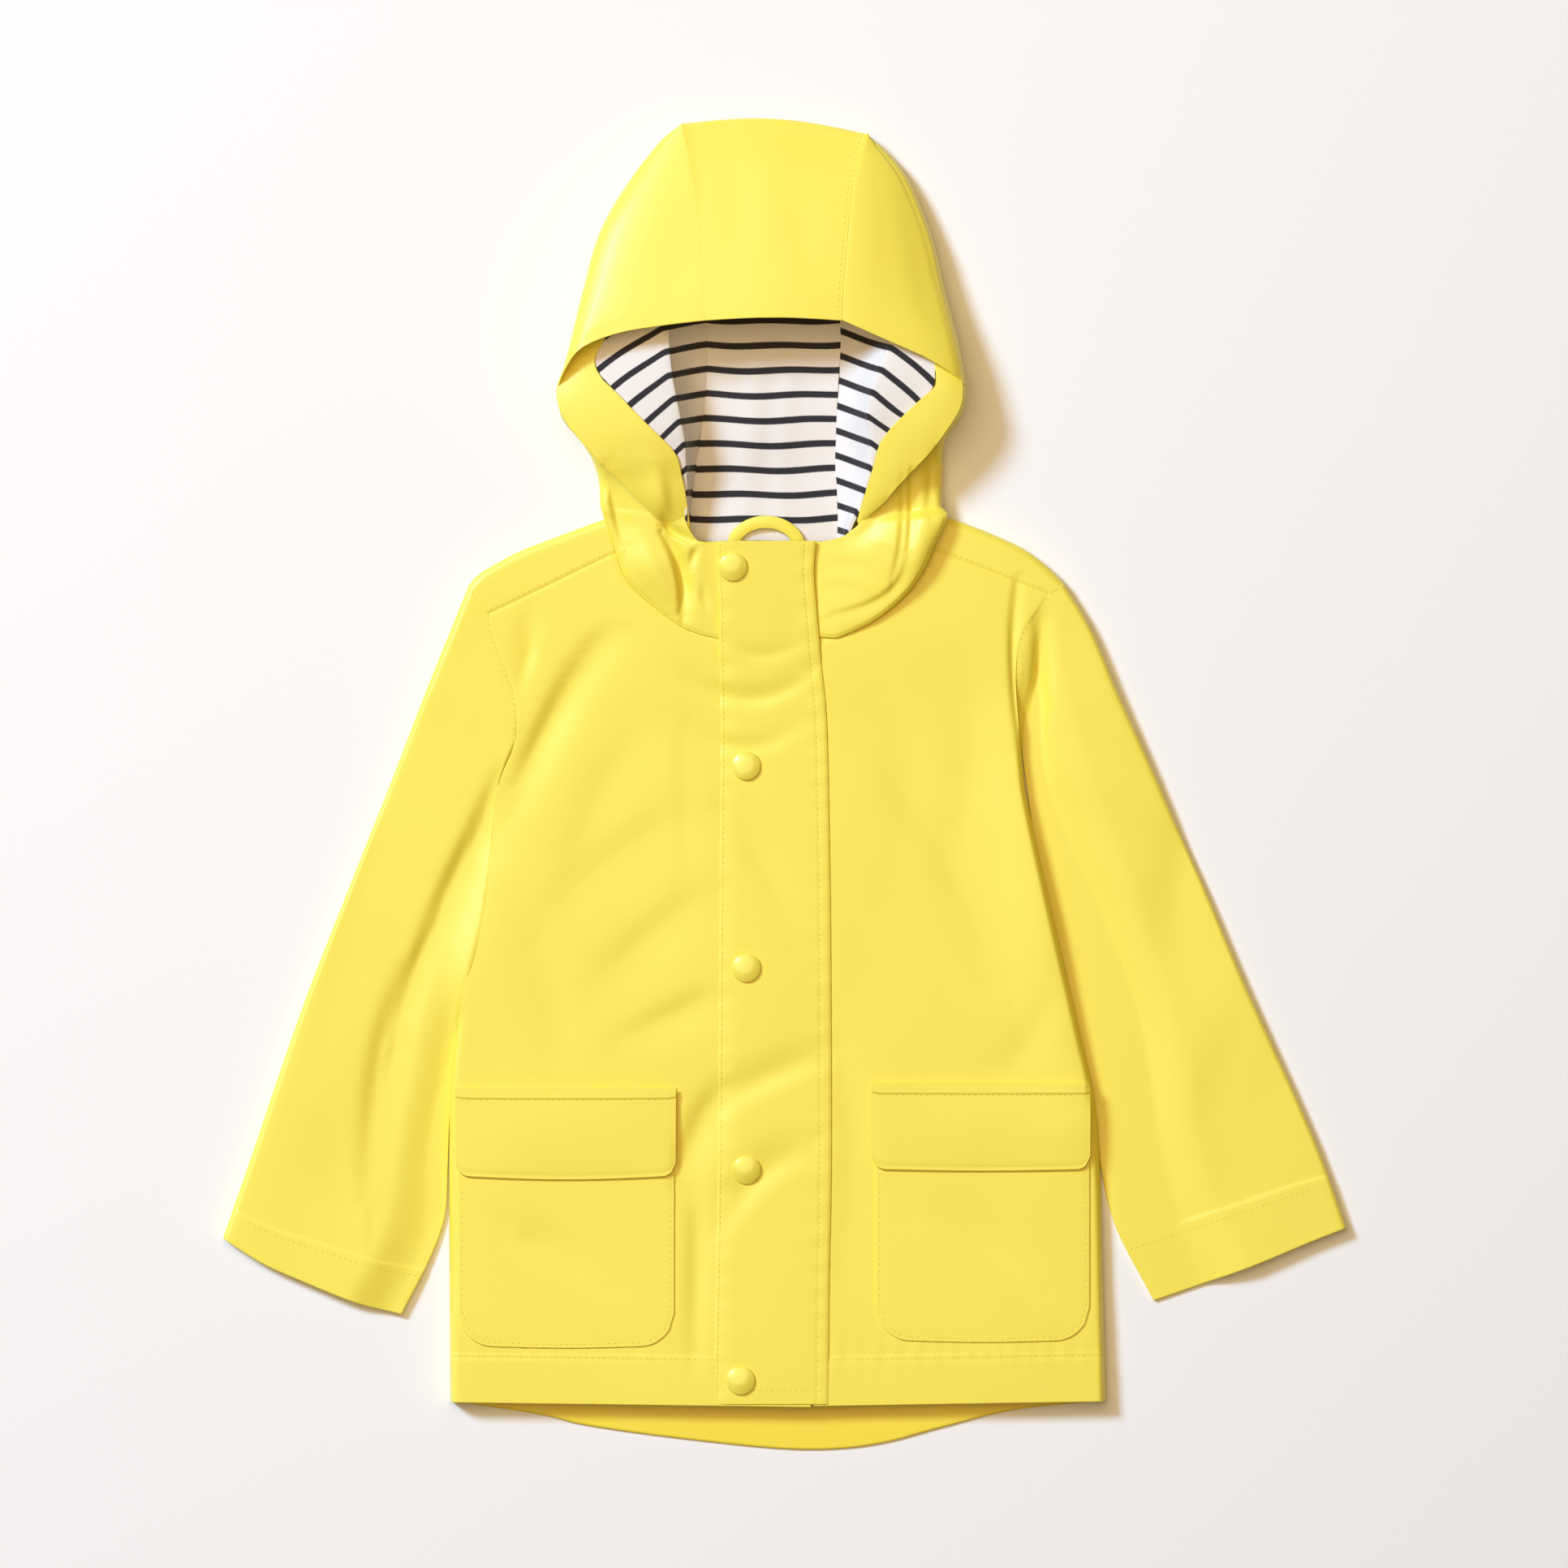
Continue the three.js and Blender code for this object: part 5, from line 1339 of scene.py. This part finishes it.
def placketGrid():
    last, width = count(placketRows) - 1, placket["width"]
    t = stops(0, last, 0.045, [0, last], fine=0.01, reach=0.04)
    left, right = pointAt(placketRows, t, "leftX", "leftY"), pointAt(placketRows, t, "rightX", "rightY")
    seams = [placket["leftStitch"], width - placket["rightStitch"]]
    columns = []
    for stop in stops(0, width, 1.6, [0, *seams, width], fine=0.3, reach=1.6):
        place = left + (right - left) * (stop / width)
        x, y = place[:, 0], place[:, 1]
        height = frontTop(x, y) + placketLift - placket["leftDrop"] * (1 - ease(0, 9, stop))
        height = height - placket["groove"] * (bump(stop - seams[0], 0.7) + bump(stop - seams[1], 0.7))
        ripple = np.sin(y * 2 * math.pi / 13 + 1.7 * np.sin(y / 23)) + 0.2 * np.sin(y / 2.1 + 1)
        height = height + placket["pucker"] * ripple * (bump(stop - 3, 5) + bump(stop - 50, 5))
        height = height - placket["edgeDrop"] * (bump(stop, 0.6) + bump(width - stop, 0.6))
        columns.append(withHeight(place, height))
    return np.stack(columns, axis=1)


placketSheet = placketGrid()
clothPiece(
    "placketPanel", "placket", [placketSheet], placket["thickness"],
)


# Height of the front with its rolled side, for pieces that reach the side seam
def rolledTop(rows, x, y):
    t = np.linspace(armholeRows, count(rows) - 1, 400)
    edge = pointAt(rows, t, "sideX", "sideY")
    sideX = np.interp(-y, -edge[:, 1], edge[:, 0])
    inset = np.abs(sideX - x)
    roll = np.sqrt(1 - (1 - np.clip(inset / body["sideRoll"], 0, 1)) ** 2)
    return mix(body["sideSeam"], coatTop(x, y), roll)


pocketCloth = {"lift": 0.1, "puff": 0.35, "stitchInset": 1.7, "groove": 0.15}
flapCloth = {"lift": 1.2, "puff": 0.7, "strip": 4.8, "stripStep": 0.45, "stitchDown": 5.6, "thickness": 1.1}


# A pocket or a flap: straight at the top, round at the lower corners, with a strip sewn down at a flap's top
def patchGrid(form, rows, lift, puff, strip=0.0):
    height = form["top"] - form["bottom"]
    width = form["x1"] - form["x0"]
    across = stops(0, 1, 2.0 / width, [0, 1], fine=0.25 / width, reach=6 / width)
    marks = [0, 1] + ([strip / height] if strip else [])
    down = stops(0, 1, 2.2 / height, marks, fine=0.25 / height, reach=2.5 / height)
    v, u = np.meshgrid(down, across, indexing="ij")
    corner = form["corner"]
    past = np.clip((corner - np.minimum(u, 1 - u) * width) / corner, 0, 1)
    rise = corner * (1 - np.sqrt(1 - past ** 2 * 0.999))
    y = mix(form["top"], form["bottom"] + rise, v) - form["dip"] * np.sin(math.pi * u) * v
    x = mix(form["x0"], form["x1"], u)
    swell = puff * np.sin(math.pi * u) * np.sin(math.pi * v)
    z = rolledTop(rows, x, y) + lift + clothThickness + swell
    fromEdge = np.minimum(np.minimum(u, 1 - u) * width, (1 - v) * height)
    z = z - pocketCloth["groove"] * bump(fromEdge - pocketCloth["stitchInset"], 0.7)
    if strip:
        z = z + flapCloth["stripStep"] * (1 - ease(strip - 0.5, strip + 0.5, v * height))
    return np.stack([x, y, z], axis=-1)


flapLift = layerGap + flapCloth["lift"] + pocketCloth["puff"]
for side, rows in frontRows.items():
    name = side.title()
    grid = patchGrid(pockets[side], rows, pocketCloth["lift"], pocketCloth["puff"])
    clothPiece(f"pocket{name}", f"pocket_{side}", [grid])
    grid = patchGrid(flaps[side], rows, flapLift, flapCloth["puff"], flapCloth["strip"])
    clothPiece(
        f"pocketFlap{name}", f"pocket_flap_{side}", [grid],
        flapCloth["thickness"],
    )
print("pockets and placket laid")

# Snap caps: a domed cap on a thin rolled rim
snap = {
    "radius": 7.4, "rim": 0.9, "domeShare": 0.93, "domeFrom": 1.05, "dome": 2.5, "seat": 0.2, "turns": 64,
    "colour": (0.95, 0.80, 0.10, 1), "roughness": 0.32, "coat": 1.0,
}
snapMaterial = plainMaterial("snapCap", snap["colour"], snap["roughness"], snap["coat"])


def snapShell(x, y):
    r, turns = snap["radius"], snap["turns"]
    domeEdge, domeFrom = r * snap["domeShare"], snap["domeFrom"]
    profile = [(r * 0.9, 0.0), (r, 0.25), (r, 0.6), (r * 0.97, snap["rim"]), (domeEdge, domeFrom)]
    for part in np.linspace(0.96, 0, 12)[:-1]:
        profile.append((domeEdge * part, domeFrom + (snap["dome"] - domeFrom) * (1 - part ** 2)))
    angles = np.linspace(0, 2 * math.pi, turns, endpoint=False)
    slope = float(frontTop(x, y + r) - frontTop(x, y - r)) / (2 * r)
    seat = float(frontTop(x, y)) + placketLift + snap["seat"]
    points = []
    for radius, height in profile:
        points.append(withHeight(radius * np.stack([np.cos(angles), np.sin(angles)], axis=-1), height))
    points = np.concatenate([*points, [[0, 0, 0.0], [0, 0, snap["dome"]]]])
    points[:, 2] += slope * points[:, 1]
    points += [x, y, seat]
    low, high = len(points) - 2, len(points) - 1
    ids = np.arange(low).reshape(-1, turns)
    following = np.roll(ids, -1, axis=1)
    sides = np.stack([ids[:-1], following[:-1], following[1:], ids[1:]], axis=-1).reshape(-1, 4)
    caps = [[following[0, k], ids[0, k], low] for k in range(turns)]
    caps += [[ids[-1, k], following[-1, k], high] for k in range(turns)]
    return points, sides.tolist() + caps


def meshObject(name, points, faces, material):
    mesh = bpy.data.meshes.new(name)
    mesh.from_pydata([tuple(p) for p in (np.asarray(points) + tableShift) * mm], [], faces)
    for polygon in mesh.polygons:
        polygon.use_smooth = True
    return addObject(name, mesh, material)


for k, place in enumerate(snapPlaces, 1):
    points, faces = snapShell(*place)
    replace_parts(meshObject(f"snapCap{k}", points, faces, snapMaterial), f"snap_{k}")
print("snaps set")

# Topstitching: short threads sunk into the cloth along each seam
stitch = {
    "length": 2.3, "gap": 0.8, "radius": 0.17, "sink": 0.06, "ends": 0.25, "start": 0.4, "step": 0.5,
    "sides": 6, "shoulder": 2.2, "crown": 2.4, "armhole": 0.9,
}


# Places along a line, one at each step
def lineOf(points):
    points = np.asarray(points, dtype=float)
    lengths = np.concatenate([[0], np.cumsum(flat(points[1:] - points[:-1]))])
    s = np.arange(0, lengths[-1], stitch["step"])
    return np.stack([np.interp(s, lengths, points[:, 0]), np.interp(s, lengths, points[:, 1])], axis=-1)


# Height of the highest of the named pieces at a place
def dropOn(names, place):
    start = Vector(((place[0] + tableShift[0]) * mm, (place[1] + tableShift[1]) * mm, 0.1))
    hits = [trees[name].ray_cast(start, Vector((0, 0, -1)))[0] for name in names]
    heights = [hit.z for hit in hits if hit is not None]
    return max(heights) / mm if heights else None


stitchPoints, stitchFaces = [], []


def sew(points, names):
    line = lineOf(points)
    total = stitch["step"] * (len(line) - 1)
    position, sides = stitch["start"], stitch["sides"]
    while position + stitch["length"] < total:
        stations = []
        for share in (0, 0.18, 0.5, 0.82, 1):
            k = (position + share * stitch["length"]) / stitch["step"]
            i = min(int(k), len(line) - 2)
            place = mix(line[i], line[i + 1], k - i)
            z = dropOn(names, place)
            if z is None:
                break
            stations.append((place, z, share))
        if len(stations) == 5:
            start = len(stitchPoints)
            way = stations[-1][0] - stations[0][0]
            way = way / (math.hypot(*way) + 1e-9)
            cross = np.array([-way[1], way[0]])
            for place, z, share in stations:
                lift = math.sin(math.pi * min(max(share, 0.04), 0.96))
                radius = stitch["radius"] * (0.35 + 0.65 * lift)
                height = z - stitch["sink"] - stitch["ends"] * (1 - lift)
                for turn in range(sides):
                    angle = 2 * math.pi * turn / sides
                    x, y = place + cross * radius * math.cos(angle)
                    stitchPoints.append((x, y, height + radius * math.sin(angle)))
            for ring in range(4):
                for turn in range(sides):
                    a = start + ring * sides + turn
                    b = start + ring * sides + (turn + 1) % sides
                    stitchFaces.append((a, b, b + sides, a + sides))
            stitchFaces.append(tuple(start + turn for turn in range(sides - 1, -1, -1)))
            stitchFaces.append(tuple(start + 4 * sides + turn for turn in range(sides)))
        position += stitch["length"] + stitch["gap"]


# A line beside a grid's first or last column, moved inwards by inset
def edgeLine(grid, column, inset):
    edge, beside = grid[:, column, :2], grid[:, column + (3 if column == 0 else -3), :2]
    return edge + unit(beside - edge) * inset


for side, rows in frontRows.items():
    name, grid = side.title(), fronts[side]
    sew(grid[-1, 3:-2, :2] + [0, body["hemWidth"] - body["hemStitch"]], [f"front{name}"])
    sew(grid[0, :, :2] + np.array([-0.35 * outwards[side], 0.93]) * stitch["shoulder"], ["backPanel"])
    pocket, flap = pockets[side], flaps[side]
    form = patchGrid(pocket, rows, 0, 0)
    outline = np.concatenate([form[:, 0, :2], form[-1, 1:, :2], form[::-1, -1, :2]])
    middle = np.array([(pocket["x0"] + pocket["x1"]) / 2, (pocket["top"] + pocket["bottom"]) / 2])
    half = np.array([(pocket["x1"] - pocket["x0"]) / 2, (pocket["top"] - pocket["bottom"]) / 2])
    sew(middle + (outline - middle) * (1 - pocketCloth["stitchInset"] / half), [f"pocket{name}"])
    flapSeam = flap["top"] - flapCloth["stitchDown"]
    sew([[flap["x0"] + 2, flapSeam], [flap["x1"] - 1, flapSeam]], [f"pocketFlap{name}"])
sew(edgeLine(placketSheet, 0, placket["leftStitch"]), ["placketPanel"])
sew(edgeLine(placketSheet, -1, placket["rightStitch"]), ["placketPanel"])
sew(placketSheet[-1, 2:-2, :2] + [0, placket["bottomStitch"]], ["placketPanel"])
crownSeam = pointAt(hoodUpper["right"], np.linspace(0, 5, 40), "seamX", "seamY")
sew(crownSeam - [stitch["crown"], 0], ["hoodCentre"])
for side, armhole in (("left", leftArmhole), ("right", rightArmhole)):
    seam = curveAt(armhole, np.linspace(0.04, 1, 60)) + [outwards[side] * stitch["armhole"], 0]
    sew(seam, [f"sleeve{side.title()}", f"front{side.title()}"])
for side, grid in sleeves.items():
    row = np.argmin(np.abs(np.linspace(0, 1, len(grid)) - sleeve["cuffStitch"]))
    sew(grid[row, 2:52, :2], [f"sleeve{side.title()}"])
meshObject("topstitching", stitchPoints, stitchFaces, threadMaterial)
print("seams stitched", len(stitchPoints) // 30)

# Table, light and camera
stage = {
    "width": 6.0, "drop": 0.0001, "colour": (0.93, 0.915, 0.905, 1), "roughness": 0.95,
    "air": (1.0, 0.745, 0.42, 1), "airStrength": 0.06,
}
half = stage["width"] / 2
floorMesh = bpy.data.meshes.new("table")
floorMesh.from_pydata(
    [(-half, -half, 0), (half, -half, 0), (half, half, 0), (-half, half, 0)], [], [(0, 1, 2, 3)],
)
floorMesh.materials.append(plainMaterial("paleTable", stage["colour"], stage["roughness"]))
floor = bpy.data.objects.new("table", floorMesh)
floor.location.z = -stage["drop"]
bpy.context.scene.collection.objects.link(floor)

lights = {
    "key": {"from": (-5.2, 4.1, 5.2), "size": 2.1, "power": 800, "colour": (0.51, 0.71, 1.0)},
    "overhead": {"from": (-0.35, 0.5, 2.6), "size": 3.4, "power": 60, "colour": (1.0, 0.745, 0.42)},
}
for name, light in lights.items():
    data = bpy.data.lights.new(name, "AREA")
    data.shape = "DISK"
    data.size = light["size"]
    data.energy = light["power"]
    data.color = light["colour"]
    lamp = bpy.data.objects.new(name, data)
    lamp.location = light["from"]
    lamp.rotation_euler = (-Vector(light["from"])).to_track_quat("-Z", "Y").to_euler()
    bpy.context.scene.collection.objects.link(lamp)
bpy.context.scene.view_settings.view_transform = "Standard"
world = bpy.data.worlds.new("studio")
bpy.context.scene.world = world
world.use_nodes = True
background = world.node_tree.nodes["Background"]
background.inputs["Color"].default_value = stage["air"]
background.inputs["Strength"].default_value = stage["airStrength"]

view = {"away": 5.0, "sees": 0.8114, "x": -0.0004, "y": 0.0004, "sensor": 36.0}
cameraData = bpy.data.cameras.new("photo")
cameraData.sensor_width = view["sensor"]
cameraData.lens = view["sensor"] * view["away"] / view["sees"]
cameraData.clip_end = 50
camera = bpy.data.objects.new("photo", cameraData)
camera.location = (view["x"], view["y"], view["away"])
bpy.context.scene.collection.objects.link(camera)
bpy.context.scene.camera = camera
print("camera set")
